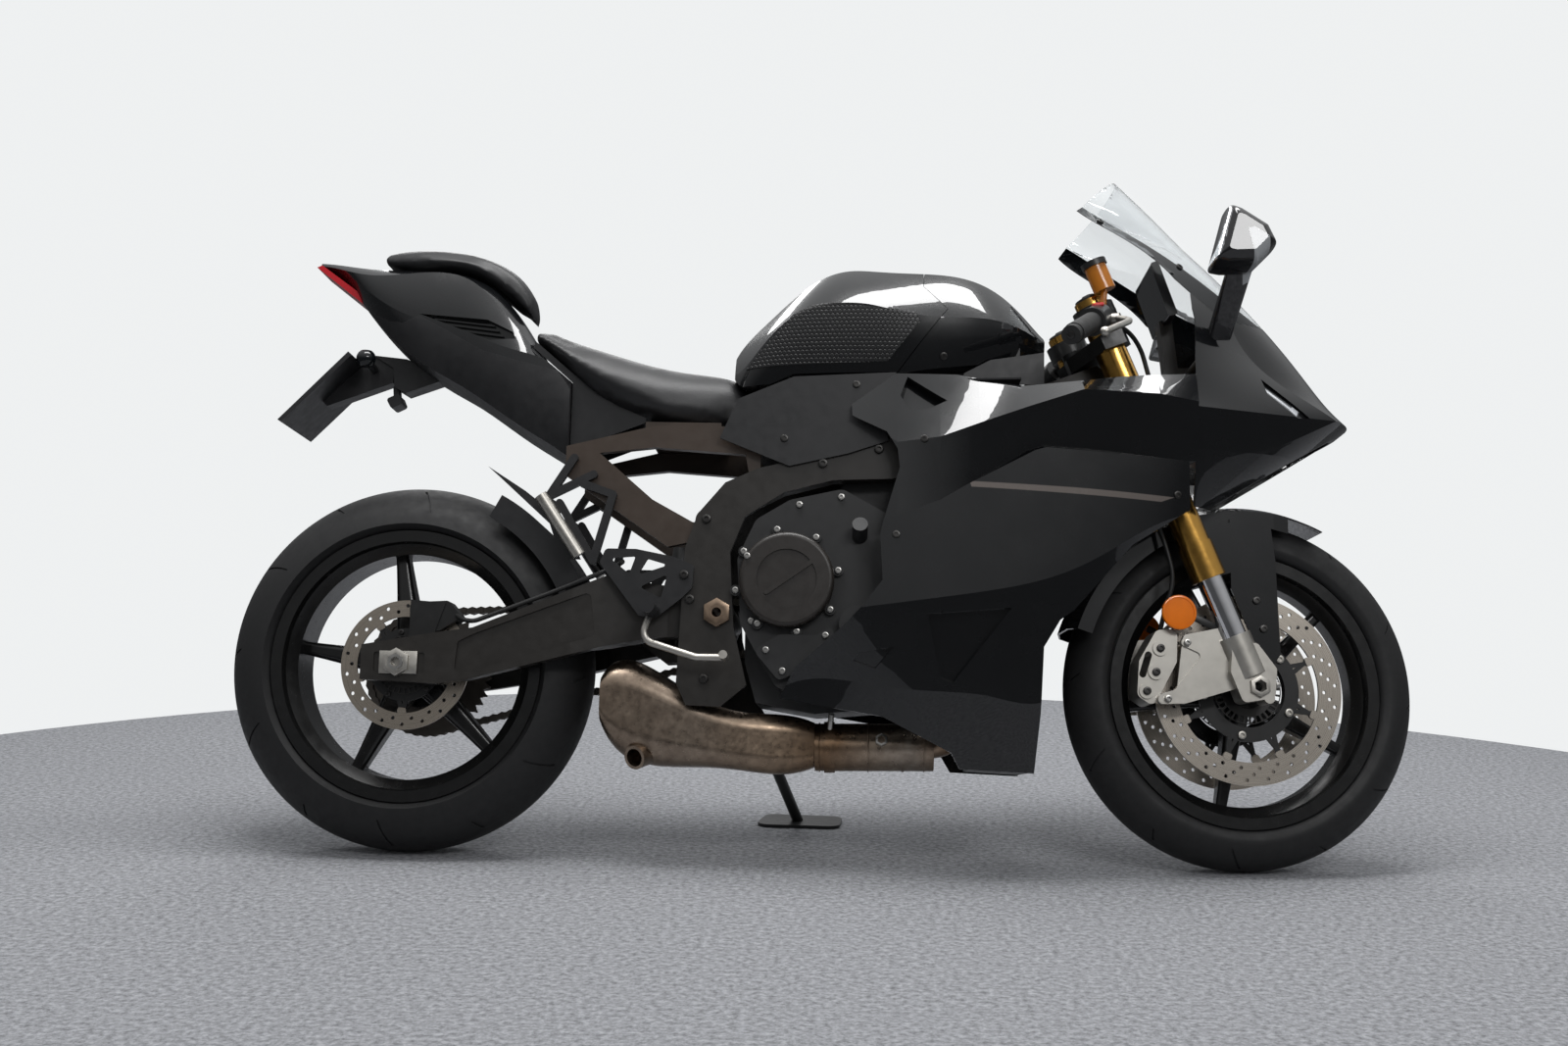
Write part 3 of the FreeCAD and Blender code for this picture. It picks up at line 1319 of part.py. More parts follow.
def rear_caliper():
    body = rounded_prism_xz([(8, 420), (74, 424), (98, 396), (60, 372), (10, 376)], 8, -98, -52)
    slot = Part.makeCylinder(rear_disc_radius + disc_room, disc_thickness + 2 * disc_room,
                             rear_axle_point - Y_AXIS * (rear_disc_face - disc_room), -Y_AXIS)
    carrier = prism_xz([(-20, 330), (10, 345), (10, 424), (70, 420), (40, 330), (18, 296), (-18, 296)],
                       -arm_right_inner, -arm_right_inner + 10)
    hole = rod(rear_axle_point - Y_AXIS * 200, rear_axle_point, axle_radius + running_clearance)
    return fused(body.cut(slot), carrier.cut(hole))


def rearset_right():
    # Foot control plate with lightening cut-outs, knurled peg, heel guard and brake pedal.
    inner = -plate_outer - seat_gap
    plate = rounded_prism_xz([(335, 488), (345, 512), (396, 512), (460, 500), (494, 486), (492, 448),
                              (474, 430), (432, 396), (404, 400)], 8, inner - 8, inner)
    for outline in ([(352, 496), (396, 500), (386, 470)], [(400, 468), (416, 496), (452, 486)],
                    [(404, 448), (450, 470), (440, 430)]):
        plate = plate.cut(rounded_prism_xz(outline, 3, inner - 10, inner + 2))
    peg_start = at(428, inner - 8, 408)
    peg = rod(peg_start, at(428, -236, 408), 12)
    for number in range(4):
        ring = Part.makeCylinder(20, 5, at(428, -178 - 14 * number, 408), -Y_AXIS)
        peg = peg.cut(ring.cut(Part.makeCylinder(10.5, 5, at(428, -178 - 14 * number, 408), -Y_AXIS)))
    pedal = bent_rod([at(428, -168, 408), at(412, -170, 358), at(505, -178, 330), at(556, -182, 330)], 20, 6)
    tip = rod(at(552, -182, 330), at(552, -222, 332), 7)
    return fused(plate, peg, pedal, tip)


def peg_hanger_right():
    # Open triangular bracket under the tail with the passenger's folding peg.
    low, high = -plate_inner - 12, -plate_inner
    strokes = (((284, 668), (246, 606)), ((318, 640), (236, 598)), ((352, 606), (322, 492)),
               ((352, 606), (300, 624)), ((322, 492), (262, 590)), ((236, 598), (262, 580)))
    bars = [bar_xz(start, end, 13, low, high) for start, end in strokes]
    peg = rod(at(300, low - 6, 500), at(232, low - 14, 600), 11)
    return fused(*bars, peg)


def all_nodes():
    fairing = side_fairing_right()
    shoulder, inner_panel = upper_fairing_right()
    engine = engine_block()
    chassis = {
        "main_frame": main_frame(), "pivot_shaft": pivot_shaft(), "subframe": subframe(),
        "engine_block": engine, "stand_bracket": stand_bracket(), "airbox": airbox(),
        "engine_cover_right": engine_cover_right(),
        "engine_cover_left": engine_cover_left(), "sprocket_cover": sprocket_cover(),
        "front_sprocket": front_sprocket(), "radiator": radiator(),
        "exhaust_headers": exhaust_headers(), "muffler": muffler(),
        "fuel_tank": fuel_tank(), "tank_cover": tank_cover(),
        "side_covers": pair(side_cover_right()), "rider_seat": rider_seat(), "pillion_seat": pillion_seat(),
        "tail_fairing": tail_fairing(), "tail_light": tail_light(), "plate_holder": plate_holder(),
        "side_fairing_right": fairing, "side_fairing_left": both_sides(fairing),
        "upper_fairings": Part.makeCompound([shoulder, inner_panel, both_sides(shoulder),
                                             both_sides(inner_panel)]),
        "belly_pan": belly_pan(), "nose_cowl": nose_cowl(), "windscreen": windscreen(),
        "headlamps": headlamps(),
        "mirrors": pair(mirror_right()), "dash": dash(), "fairing_stay": fairing_stay(),
        "swingarm": swingarm(), "shock": shock(), "rear_axle": rear_axle(), "chain": chain(),
        "hugger": hugger(), "rear_caliper": rear_caliper(), "rearsets": pair(rearset_right()),
        "peg_hangers": pair(peg_hanger_right()), "rear_hose": rear_hose(),
    }
    steering = {
        "triple_clamps": triple_clamps(), "fork_outers": fork_outers(), "fork_inners": fork_inners(),
        "fork_castings": fork_castings(), "front_calipers": front_calipers(), "mudguard": mudguard(),
        "handlebars": handlebars(), "hand_levers": hand_levers(), "brake_reservoir": brake_reservoir(),
        "front_axle": front_axle(), "front_hoses": front_hoses(),
    }
    front_wheel = {
        "front_rim": front_rim(), "front_discs": front_discs(),
        "front_tyre": tyre(front_axle_point, front_tyre_radius, front_crown_radius, front_tyre_half,
                           front_rim_half),
    }
    rear_wheel = {
        "rear_rim": rear_rim(), "rear_disc": rear_disc(), "rear_sprocket": rear_sprocket(),
        "rear_tyre": tyre(rear_axle_point, rear_tyre_radius, rear_crown_radius, rear_tyre_half,
                          rear_rim_half),
    }
    return chassis, steering, front_wheel, rear_wheel


# Resting pose

turn = Placement(Vector(0, 0, 0), Rotation(steer_axis, rest_steer), steer_ground)


def wheel_low(placement, centre, axis, outer, crown):
    # Height of a leaned tyre's lowest point.
    middle = placement.multVec(centre)
    spin = placement.Rotation.multVec(axis)
    return middle.z - (outer - crown) * math.sqrt(1 - spin.z ** 2) - crown


def resting_placement():
    # Lean about the tyre line, then pitch until both tyres touch the ground.
    pitch = 0.0
    front_centre = turn.multVec(front_axle_point)
    front_spin = turn.Rotation.multVec(Y_AXIS)
    for _ in range(5):
        turned = Rotation(Y_AXIS, pitch).multiply(Rotation(X_AXIS, -lean_angle))
        placement = Placement(Vector(0, 0, 0), turned)
        rear = wheel_low(placement, rear_axle_point, Y_AXIS, rear_tyre_radius, rear_crown_radius)
        front = wheel_low(placement, front_centre, front_spin, front_tyre_radius, front_crown_radius)
        pitch += math.degrees(math.asin((front - rear) / wheelbase))
    return Placement(Vector(0, 0, -rear), turned)


rest = resting_placement()


# Side stand

stand_pivot = at(606, 124, 214)
stand_foot = at(664, 320, 0)
stand_stowed = Vector(-0.975, 0.2, -0.1)
stand_pin_radius = 6.0
stand_boss_radius = 18.0


def stand_hinge():
    # The pin's direction and the angle that folds the leg back along the bike.
    down = rest.inverse().multVec(stand_foot) - stand_pivot
    down.normalize()
    stowed = Vector(stand_stowed)
    stowed.normalize()
    change = stowed - down
    axis = Y_AXIS - change * (Y_AXIS.dot(change) / change.dot(change))
    axis.normalize()
    start = down - axis * axis.dot(down)
    end = stowed - axis * axis.dot(stowed)
    return axis, math.degrees(start.getAngle(end))


def side_stand():
    # Leg from the pivot to a wide foot that lies flat on the ground, in the leaned frame.
    axis = stand_hinge()[0]
    pin = rod(stand_pivot - axis * 20, stand_pivot + axis * 22, stand_pin_radius)
    boss = rod(stand_pivot + axis * seat_gap, stand_pivot + axis * 22, stand_boss_radius)
    hinge = fused(pin, boss)
    hinge.Placement = rest.multiply(hinge.Placement)
    pivot = rest.multVec(stand_pivot + axis * 11)
    foot = stand_foot
    plate_corners = [Vector(foot.x - 78, foot.y - 46, 0), Vector(foot.x + 78, foot.y - 52, 0),
                     Vector(foot.x + 84, foot.y + 40, 0), Vector(foot.x - 60, foot.y + 52, 0)]
    plate = Part.Face(rounded_wire(plate_corners, 22)).extrude(Vector(0, 0, 6))
    leg = rod(pivot, foot + Vector(0, 0, 5), 10)
    below = Part.makeBox(600, 600, 100, Vector(foot.x - 300, foot.y - 300, -100))
    return fused(plate, leg, hinge).cut(below)


def stand_bracket():
    # Ear on the left frame plate that holds the stand's pin.
    axis = stand_hinge()[0]
    arm = prism_xz([(540, 262), (556, 304), (586, 289), (624, 222), (600, 198)], plate_inner - 16,
                   plate_inner)
    boss = rod(stand_pivot - axis * 22, stand_pivot, stand_boss_radius)
    outside = rod(stand_pivot, stand_pivot + axis * 60, stand_boss_radius + 5)
    hole = rod(stand_pivot - axis * 60, stand_pivot + axis * 60, stand_pin_radius + running_clearance)
    return largest(fused(arm, boss).cut(outside).cut(hole))


os.makedirs("parts", exist_ok=True)
chassis, steering, front_wheel, rear_wheel = all_nodes()
nodes = {}
for group in (chassis, rear_wheel):
    for name, shape in group.items():
        shape.Placement = rest.multiply(shape.Placement)
        nodes[name] = shape
for group in (steering, front_wheel):
    for name, shape in group.items():
        shape.Placement = rest.multiply(turn).multiply(shape.Placement)
        nodes[name] = shape
nodes["side_stand"] = side_stand()

box = Part.makeCompound(list(nodes.values())).optimalBoundingBox(True, False)
shift = Vector(-(box.XMin + box.XMax) / 2, -(box.YMin + box.YMax) / 2, 0)
for name, shape in nodes.items():
    shape.translate(shift)
    shape.exportStep("parts/" + name + ".step")
print("nodes", len(nodes), "box", round(box.XLength), round(box.YLength), round(box.ZLength))
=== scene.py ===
import json
import math

import bmesh
import bpy
from bpy.props import FloatProperty, FloatVectorProperty, IntProperty, PointerProperty
from mathutils import Matrix, Vector

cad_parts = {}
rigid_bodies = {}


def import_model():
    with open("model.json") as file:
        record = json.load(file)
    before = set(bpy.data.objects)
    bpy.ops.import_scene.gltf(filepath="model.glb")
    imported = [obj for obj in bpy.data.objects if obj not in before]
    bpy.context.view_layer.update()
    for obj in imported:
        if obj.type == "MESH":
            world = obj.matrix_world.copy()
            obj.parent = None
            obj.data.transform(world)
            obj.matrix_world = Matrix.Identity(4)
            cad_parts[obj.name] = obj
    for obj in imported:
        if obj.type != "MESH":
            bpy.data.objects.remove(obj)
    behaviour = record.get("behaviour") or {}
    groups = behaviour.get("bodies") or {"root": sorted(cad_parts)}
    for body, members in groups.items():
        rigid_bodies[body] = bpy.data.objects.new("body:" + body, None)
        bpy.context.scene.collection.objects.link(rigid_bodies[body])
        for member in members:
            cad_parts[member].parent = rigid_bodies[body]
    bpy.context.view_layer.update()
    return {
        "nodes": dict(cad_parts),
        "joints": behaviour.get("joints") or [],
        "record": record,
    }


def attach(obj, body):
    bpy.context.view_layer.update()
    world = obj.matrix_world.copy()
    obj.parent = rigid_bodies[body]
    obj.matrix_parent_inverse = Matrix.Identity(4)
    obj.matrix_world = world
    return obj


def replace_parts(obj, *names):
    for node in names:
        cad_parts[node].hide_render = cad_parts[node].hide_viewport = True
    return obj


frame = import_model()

bl_info = {
    "name": "Sport Motorcycle Dressing",
    "version": (1, 0, 0),
    "blender": (4, 5, 0),
    "location": "View3D > Sidebar > Bike",
    "description": "Finishes, seats, tyres, lamps and fittings for a faired sport motorcycle",
    "category": "Object",
}

joints = {joint["name"]: joint for joint in frame["joints"]}

# Most places below are millimetres in the upright bike's own frame: X forward from the rear
# axle, Y to the left, Z up. bike_point() carries them to where the bike leans, and turns them with
# the steering where they belong to the front end. A new piece names a frame node as its host: it
# rides on the host's body.

RAKE = math.radians(22.6)
REST_STEER = math.radians(6.5)
STEER_AXIS = Vector((-math.sin(RAKE), 0, math.cos(RAKE)))
REAR_AXLE = (0, 315)
FRONT_AXLE = (1420, 300)
CLUTCH = (650, 463)
BOTH = (-1, 1)
BODY = {name: node.parent.name.replace("body:", "") for name, node in frame["nodes"].items()}
SLOT = {part["node"]: part["material_slot"] for part in frame["record"]["subparts"]}


def bike_matrix():
    """From the upright bike's own frame, origin under the rear axle, to where it leans."""
    spin = Vector(joints["rear_wheel_spin"]["axis"]).normalized()
    steer = Vector(joints["steering"]["axis"]).normalized()
    ahead = spin.cross(steer).normalized()
    forward = ahead * math.cos(RAKE) - steer * math.sin(RAKE)
    up = forward.cross(spin)
    turn = Matrix((forward, spin, up)).transposed().to_4x4()
    axle = Vector(joints["rear_wheel_spin"]["pos_m"])
    return Matrix.Translation(axle - turn.to_3x3() @ Vector((0, 0, REAR_AXLE[1] * 0.001))) @ turn


def steered_matrix():
    """The same frame, turned with the front wheel."""
    pivot = Vector(joints["steering"]["pos_m"])
    turn = Matrix.Rotation(REST_STEER, 4, Vector(joints["steering"]["axis"]))
    return Matrix.Translation(pivot) @ turn @ Matrix.Translation(-pivot) @ BIKE


BIKE = bike_matrix()
STEERED = steered_matrix()


def matrix_of(host):
    """The frame that the places on a host are given in."""
    return STEERED if BODY[host] in ("steering", "front_wheel") else BIKE


def bike_point(place, host="main_frame"):
    return matrix_of(host) @ (Vector(place) * 0.001)


def bike_direction(direction, host="main_frame"):
    return (matrix_of(host).to_3x3() @ Vector(direction)).normalized()


# Settings

def colour_field(name, description, default):
    return FloatVectorProperty(name=name, description=description, default=default, subtype="COLOR", size=3)


def angle_field(name, description, degrees):
    return FloatProperty(name=name, description=description, default=math.radians(degrees), subtype="ANGLE",
                         unit="ROTATION")


def length_field(name, description, default):
    return FloatProperty(name=name, description=description, default=default, min=0, unit="LENGTH")


class BikeStageSettings(bpy.types.PropertyGroup):
    camera_place: FloatVectorProperty(name="Camera place", description="From the point under the rear axle",
                                      default=(0.761, -3.061, 0.701), subtype="XYZ", unit="LENGTH")
    camera_yaw: angle_field("Camera yaw", "Turn away from straight across the bike", -2.22)
    camera_pitch: angle_field("Camera pitch", "Downward tilt of the camera", 2.32)
    camera_roll: angle_field("Camera roll", "Roll of the picture", 0.83)
    focal_length: FloatProperty(name="Focal length", description="Lens for a 36 mm wide sensor",
                                default=41.6, min=10, max=200)
    floor_radius: length_field("Floor radius", "Radius of the round carpet", 2.35)
    floor_colour: colour_field("Floor", "Carpet colour", (0.28, 0.285, 0.30))
    key_power: FloatProperty(name="Key power", description="Power of the overhead panel light",
                             default=95.0, min=0)


class BikeFinishSettings(bpy.types.PropertyGroup):
    paint: colour_field("Paint", "Gloss bodywork colour", (0.0035, 0.0038, 0.0044))
    stripe: colour_field("Stripe", "Line along the flank", (0.115, 0.098, 0.088))
    satin: colour_field("Satin panels", "Grained panel plastic", (0.009, 0.009, 0.010))
    frame_tint: colour_field("Frame", "Bronze-black frame coating", (0.014, 0.012, 0.010))
    fork_gold: colour_field("Fork gold", "Anodised fork tubes", (0.68, 0.38, 0.09))


class BikeDetailSettings(bpy.types.PropertyGroup):
    tyre_steps: IntProperty(name="Tyre steps", description="Segments round each tyre", default=216, min=72)
    sipe_depth: length_field("Sipe depth", "Depth of the tread cuts", 0.0024)
    pad_thickness: length_field("Pad thickness", "Rubber knee pads on the tank", 0.0016)
    seat_swell: length_field("Seat swell", "How far the foam may push the cover out", 0.005)


# Small helpers

def deselect():
    if bpy.context.object and bpy.context.object.mode != "OBJECT":
        bpy.ops.object.mode_set(mode="OBJECT")
    bpy.ops.object.select_all(action="DESELECT")


def activate(piece):
    deselect()
    piece.select_set(True)
    bpy.context.view_layer.objects.active = piece


def link(name, mesh):
    piece = bpy.data.objects.new(name, mesh)
    bpy.context.scene.collection.objects.link(piece)
    return piece


def edit_all(piece):
    """Goes to edit mode with all of a piece selected."""
    activate(piece)
    bpy.ops.object.mode_set(mode="EDIT")
    bpy.ops.mesh.select_all(action="SELECT")


def pick(piece, kind, test):
    """Goes to edit mode and selects the faces or edges that a test chooses."""
    if bpy.context.view_layer.objects.active != piece or piece.mode != "EDIT":
        edit_all(piece)
    bpy.ops.mesh.select_mode(type=kind)
    bpy.ops.mesh.select_all(action="DESELECT")
    form = bmesh.from_edit_mesh(piece.data)
    for item in {"FACE": form.faces, "EDGE": form.edges}[kind]:
        if test(item):
            item.select_set(True)
    bmesh.update_edit_mesh(piece.data)


def sink(depth):
    """Extrudes the selected faces along their normals, inwards for a positive depth."""
    bpy.ops.mesh.extrude_region_shrink_fatten(TRANSFORM_OT_shrink_fatten={"value": -depth})


def facing_out(piece):
    edit_all(piece)
    bpy.ops.mesh.normals_make_consistent(inside=False)


def applied(piece, kind, **values):
    """Puts a modifier on a piece and applies it."""
    activate(piece)
    modifier = piece.modifiers.new(kind.lower(), kind)
    for name, value in values.items():
        setattr(modifier, name, value)
    bpy.ops.object.modifier_apply(modifier=modifier.name)


def settle(piece, matrix=None):
    """Leaves the piece at the origin with its place in its mesh."""
    activate(piece)
    if matrix is not None:
        piece.matrix_world = matrix
    bpy.ops.object.transform_apply(location=True, rotation=True, scale=True)


def dress(piece, material):
    piece.data.materials.clear()
    piece.data.materials.append(MATERIALS[material])


def fitted(name, pieces, host, material, angle=35):
    """Joins pieces, shades them, gives them their finish and lets them ride with their host."""
    piece = pieces[0]
    activate(piece)
    for other in pieces[1:]:
        other.select_set(True)
    if len(pieces) > 1:
        bpy.ops.object.join()
    piece.name = name
    bpy.ops.object.shade_smooth_by_angle(angle=math.radians(angle))
    dress(piece, material)
    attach(piece, BODY[host])
    return piece


def standing(place, direction, host):
    """A matrix whose Z runs along a direction from a place on the bike."""
    turn = bike_direction(direction, host).to_track_quat("Z", "Y").to_matrix().to_4x4()
    return Matrix.Translation(bike_point(place, host)) @ turn


def stamped(name, model, places, host, material):
    """Copies of a model at many places, fitted as one piece; the model itself is removed."""
    deselect()
    copies = []
    for place, direction in places:
        copy = link(name + "_part", model.data.copy())
        settle(copy, standing(place, direction, host))
        copies.append(copy)
    bpy.data.objects.remove(model)
    return fitted(name, copies, host, material)


def strung(places):
    """Edges through places in metres, extruded from point to point; they stay selected in edit mode."""
    deselect()
    bpy.ops.mesh.primitive_plane_add(size=0.001)
    piece = bpy.context.object
    bpy.ops.object.mode_set(mode="EDIT")
    bpy.ops.mesh.select_mode(type="VERT")
    bpy.ops.mesh.merge(type="CENTER")
    bpy.ops.transform.translate(value=places[0])
    for last, place in zip(places, places[1:]):
        bpy.ops.mesh.extrude_region_move(TRANSFORM_OT_translate={"value": place - last})
    bpy.ops.mesh.select_all(action="SELECT")
    return piece


def drum(radius, height, vertices, bevel):
    """A cylinder standing on the origin, with a bevelled top; it stays in edit mode."""
    deselect()
    bpy.ops.mesh.primitive_cylinder_add(vertices=vertices, radius=radius, depth=height,
                                        location=(0, 0, height / 2))
    piece = bpy.context.object
    settle(piece)
    pick(piece, "FACE", lambda face: face.normal.z > 0.9)
    bpy.ops.mesh.bevel(offset=bevel, segments=2)
    return piece


def top_face(piece):
    highest = max(vertex.co.z for vertex in bmesh.from_edit_mesh(piece.data).verts)
    return lambda face: face.normal.z > 0.9 and face.calc_center_median().z > highest - 1e-5


def socket_bolt(radius, height):
    """A socket-head bolt on the origin, head up."""
    piece = drum(radius, height, 20, radius * 0.16)
    pick(piece, "FACE", top_face(piece))
    bpy.ops.mesh.inset(thickness=radius * 0.34)
    sink(height * 0.6)
    return piece


def hollow_nut(radius, height, bore):
    """A hexagonal nut that is open right through."""
    piece = drum(radius, height, 6, radius * 0.07)
    pick(piece, "FACE", top_face(piece))
    bpy.ops.mesh.inset(thickness=radius * 0.8 - bore)
    lower = min(vertex.co.z for vertex in bmesh.from_edit_mesh(piece.data).verts)
    bpy.ops.mesh.delete(type="FACE")
    pick(piece, "FACE", lambda face: face.normal.z < -0.9 and face.calc_center_median().z < lower + 1e-5)
    bpy.ops.mesh.inset(thickness=radius * 0.866 - bore)
    bpy.ops.mesh.delete(type="FACE")
    bpy.ops.mesh.select_mode(type="EDGE")
    bpy.ops.mesh.select_non_manifold()
    bpy.ops.mesh.bridge_edge_loops()
    facing_out(piece)
    return piece


def bar_between(start, end, width, depth, host, bevel=0.001):
    """A bevelled bar from one place to another, its width across the bike's side view."""
    deselect()
    bpy.ops.mesh.primitive_cube_add(size=1)
    piece = bpy.context.object
    low, high = bike_point(start, host), bike_point(end, host)
    along = (high - low).normalized()
    side = bike_direction((0, 1, 0), host)
    across = along.cross(side).normalized()
    side = across.cross(along)
    turn = Matrix((along, side, across)).transposed().to_4x4()
    size = Matrix.Diagonal(((high - low).length, depth, width, 1))
    settle(piece, Matrix.Translation((low + high) / 2) @ turn @ size)
    pick(piece, "EDGE", lambda edge: True)
    bpy.ops.mesh.bevel(offset=min(bevel, width * 0.3, depth * 0.3), segments=2)
    return piece


def ring(radius, thickness, place, direction, host):
    """A round bead lying across a direction."""
    deselect()
    bpy.ops.mesh.primitive_torus_add(major_radius=radius, minor_radius=thickness, major_segments=48,
                                     minor_segments=10)
    piece = bpy.context.object
    settle(piece, standing(place, direction, host))
    return piece


def smooth_copy(node, cut=None):
    """A merged copy of a frame node that stands for it, shaded as the node or split along a line."""
    source = frame["nodes"][node]
    piece = link(node + "_skin", source.data.copy())
    exact = [corner.vector.copy() for corner in piece.data.corner_normals]
    edit_all(piece)
    bpy.ops.mesh.remove_doubles(threshold=0.00001)
    if cut:
        (x, z), (x_next, z_next) = cut
        across = bike_direction((z - z_next, 0, x_next - x))
        bpy.ops.mesh.bisect(plane_co=bike_point((x, 0, z)), plane_no=across)
    activate(piece)
    bpy.ops.object.shade_smooth_by_angle(angle=math.radians(32))
    if not cut:
        if len(piece.data.loops) != len(exact):
            piece.data = source.data.copy()
        bpy.ops.object.shade_smooth()
        piece.data.normals_split_custom_set(exact)
    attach(piece, BODY[node])
    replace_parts(piece, node)
    return piece


def paint(node, material, test):
    """Gives some faces of a node's copy another finish. The test has their middle in mm and their normal."""
    piece = bpy.data.objects[node + "_skin"]
    piece.data.materials.append(MATERIALS[material])
    number = len(piece.data.materials) - 1
    inverse = matrix_of(node).inverted()
    turn = inverse.to_3x3()
    for face in piece.data.polygons:
        if test(inverse @ face.center * 1000, turn @ face.normal):
            face.material_index = number


# Materials

def shader(name):
    """A new material with its node tree and main shader."""
    material = bpy.data.materials.new(name)
    material.use_nodes = True
    tree = material.node_tree
    return material, tree, tree.nodes["Principled BSDF"]


def object_place(tree):
    return tree.nodes.new("ShaderNodeTexCoord").outputs["Object"]


def mapped(tree, source, **values):
    """A mapping node's result for a vector."""
    mapping = tree.nodes.new("ShaderNodeMapping")
    for name, value in values.items():
        mapping.inputs[name].default_value = value
    tree.links.new(source, mapping.inputs["Vector"])
    return mapping.outputs["Vector"]


def bike_place(tree, host="main_frame"):
    """The shaded point in metres of the upright bike's own frame."""
    inverse = matrix_of(host).inverted()
    return mapped(tree, object_place(tree), Location=inverse.translation, Rotation=inverse.to_euler())


def noise(tree, scale, detail=4.0, rough=0.55, place=None):
    cloud = tree.nodes.new("ShaderNodeTexNoise")
    cloud.inputs["Scale"].default_value = scale
    cloud.inputs["Detail"].default_value = detail
    cloud.inputs["Roughness"].default_value = rough
    tree.links.new(place or object_place(tree), cloud.inputs["Vector"])
    return cloud.outputs["Fac"]


def spread(tree, source, low, high, start=0.3, end=0.7):
    """Maps a value between start and end onto low to high."""
    ramp = tree.nodes.new("ShaderNodeMapRange")
    ramp.inputs["From Min"].default_value = start
    ramp.inputs["From Max"].default_value = end
    ramp.inputs["To Min"].default_value = low
    ramp.inputs["To Max"].default_value = high
    tree.links.new(source, ramp.inputs["Value"])
    return ramp.outputs["Result"]


def sums(tree, kind, first, second):
    """One math node on two values, each a socket or a number."""
    item = tree.nodes.new("ShaderNodeMath")
    item.operation = kind
    for value, socket in ((first, item.inputs[0]), (second, item.inputs[1])):
        if isinstance(value, (int, float)):
            socket.default_value = value
        elif value is not None:
            tree.links.new(value, socket)
    return item.outputs[0]


def vectors(tree, kind, first, second=None):
    """One vector math node on a socket and, where it takes two, a fixed vector."""
    item = tree.nodes.new("ShaderNodeVectorMath")
    item.operation = kind
    tree.links.new(first, item.inputs[0])
    if second is not None:
        item.inputs[1].default_value = second
    return item.outputs["Value" if kind in ("DOT_PRODUCT", "LENGTH") else "Vector"]


def axes(tree, source):
    """The X, Y and Z sockets of a vector."""
    parts = tree.nodes.new("ShaderNodeSeparateXYZ")
    tree.links.new(source, parts.inputs[0])
    return parts.outputs


def bump(tree, source, main, strength, distance):
    relief = tree.nodes.new("ShaderNodeBump")
    relief.inputs["Strength"].default_value = strength
    relief.inputs["Distance"].default_value = distance
    tree.links.new(source, relief.inputs["Height"])
    tree.links.new(relief.outputs["Normal"], main.inputs["Normal"])


def feed(tree, main, colour, roughness, height=None, strength=0.5, depth=0.00002, metallic=0.0):
    """Gives a surface its colour, its roughness and its relief."""
    tree.links.new(colour, main.inputs["Base Color"])
    tree.links.new(roughness, main.inputs["Roughness"])
    main.inputs["Metallic"].default_value = metallic
    if height is not None:
        bump(tree, height, main, strength, depth)


def tint(tree, source, dark, light):
    mix = tree.nodes.new("ShaderNodeMix")
    mix.data_type = "RGBA"
    for socket, colour in (("A", dark), ("B", light)):
        if hasattr(colour, "links"):
            tree.links.new(colour, mix.inputs[socket])
        else:
            mix.inputs[socket].default_value = (*colour, 1)
    tree.links.new(source, mix.inputs["Factor"])
    return mix.outputs["Result"]


def scaled(colour, factor):
    return tuple(min(1.0, part * factor) for part in colour)


def radius_about(tree, centre, host):
    """Distance in metres from a wheel's axle line."""
    parts = axes(tree, bike_place(tree, host))
    across = sums(tree, "SUBTRACT", parts["X"], centre[0] * 0.001)
    up = sums(tree, "SUBTRACT", parts["Z"], centre[1] * 0.001)
    square = sums(tree, "ADD", sums(tree, "MULTIPLY", across, across), sums(tree, "MULTIPLY", up, up))
    return sums(tree, "SQRT", square, None)


def inside(tree, outline):
    """1 inside a convex outline of the side view, given clockwise in millimetres, 0 outside."""
    edge = 0.0006
    place = bike_place(tree)
    nearest = None
    for (x, z), (x_next, z_next) in zip(outline, outline[1:] + outline[:1]):
        inward = Vector((z_next - z, 0, x - x_next)).normalized()
        start = (inward.x * x + inward.z * z) * 0.001
        distance = sums(tree, "SUBTRACT", vectors(tree, "DOT_PRODUCT", place, inward), start)
        nearest = distance if nearest is None else sums(tree, "MINIMUM", nearest, distance)
    return spread(tree, nearest, 0.0, 1.0, -edge, edge)


def gloss_paint(name, colour, marks=()):
    """Lacquer over a colour, with marks in other colours inside outlines of the side view."""
    material, tree, main = shader(name)
    base = tint(tree, noise(tree, 900, 2), scaled(colour, 0.8), scaled(colour, 1.4))
    for outline, mark in marks:
        base = tint(tree, inside(tree, outline), base, mark)
    feed(tree, main, base, spread(tree, noise(tree, 14, 3), 0.22, 0.3))
    main.inputs["Coat Weight"].default_value = 1.0
    main.inputs["Coat Roughness"].default_value = 0.015
    main.inputs["Specular IOR Level"].default_value = 0.15
    return material


def plastic(name, colour, low, high, grain=1400, depth=0.00004):
    material, tree, main = shader(name)
    feed(tree, main, tint(tree, noise(tree, 30, 4), scaled(colour, 0.85), scaled(colour, 1.2)),
         spread(tree, noise(tree, 60, 4), low, high), noise(tree, grain, 3), 0.6, depth)
    return material


def metal(name, colour, low, high, grain=600, depth=0.00002):
    material, tree, main = shader(name)
    feed(tree, main, tint(tree, noise(tree, 45, 5), scaled(colour, 0.82), scaled(colour, 1.1)),
         spread(tree, noise(tree, 90, 5), low, high), noise(tree, grain, 3), 0.5, depth, 1.0)
    return material


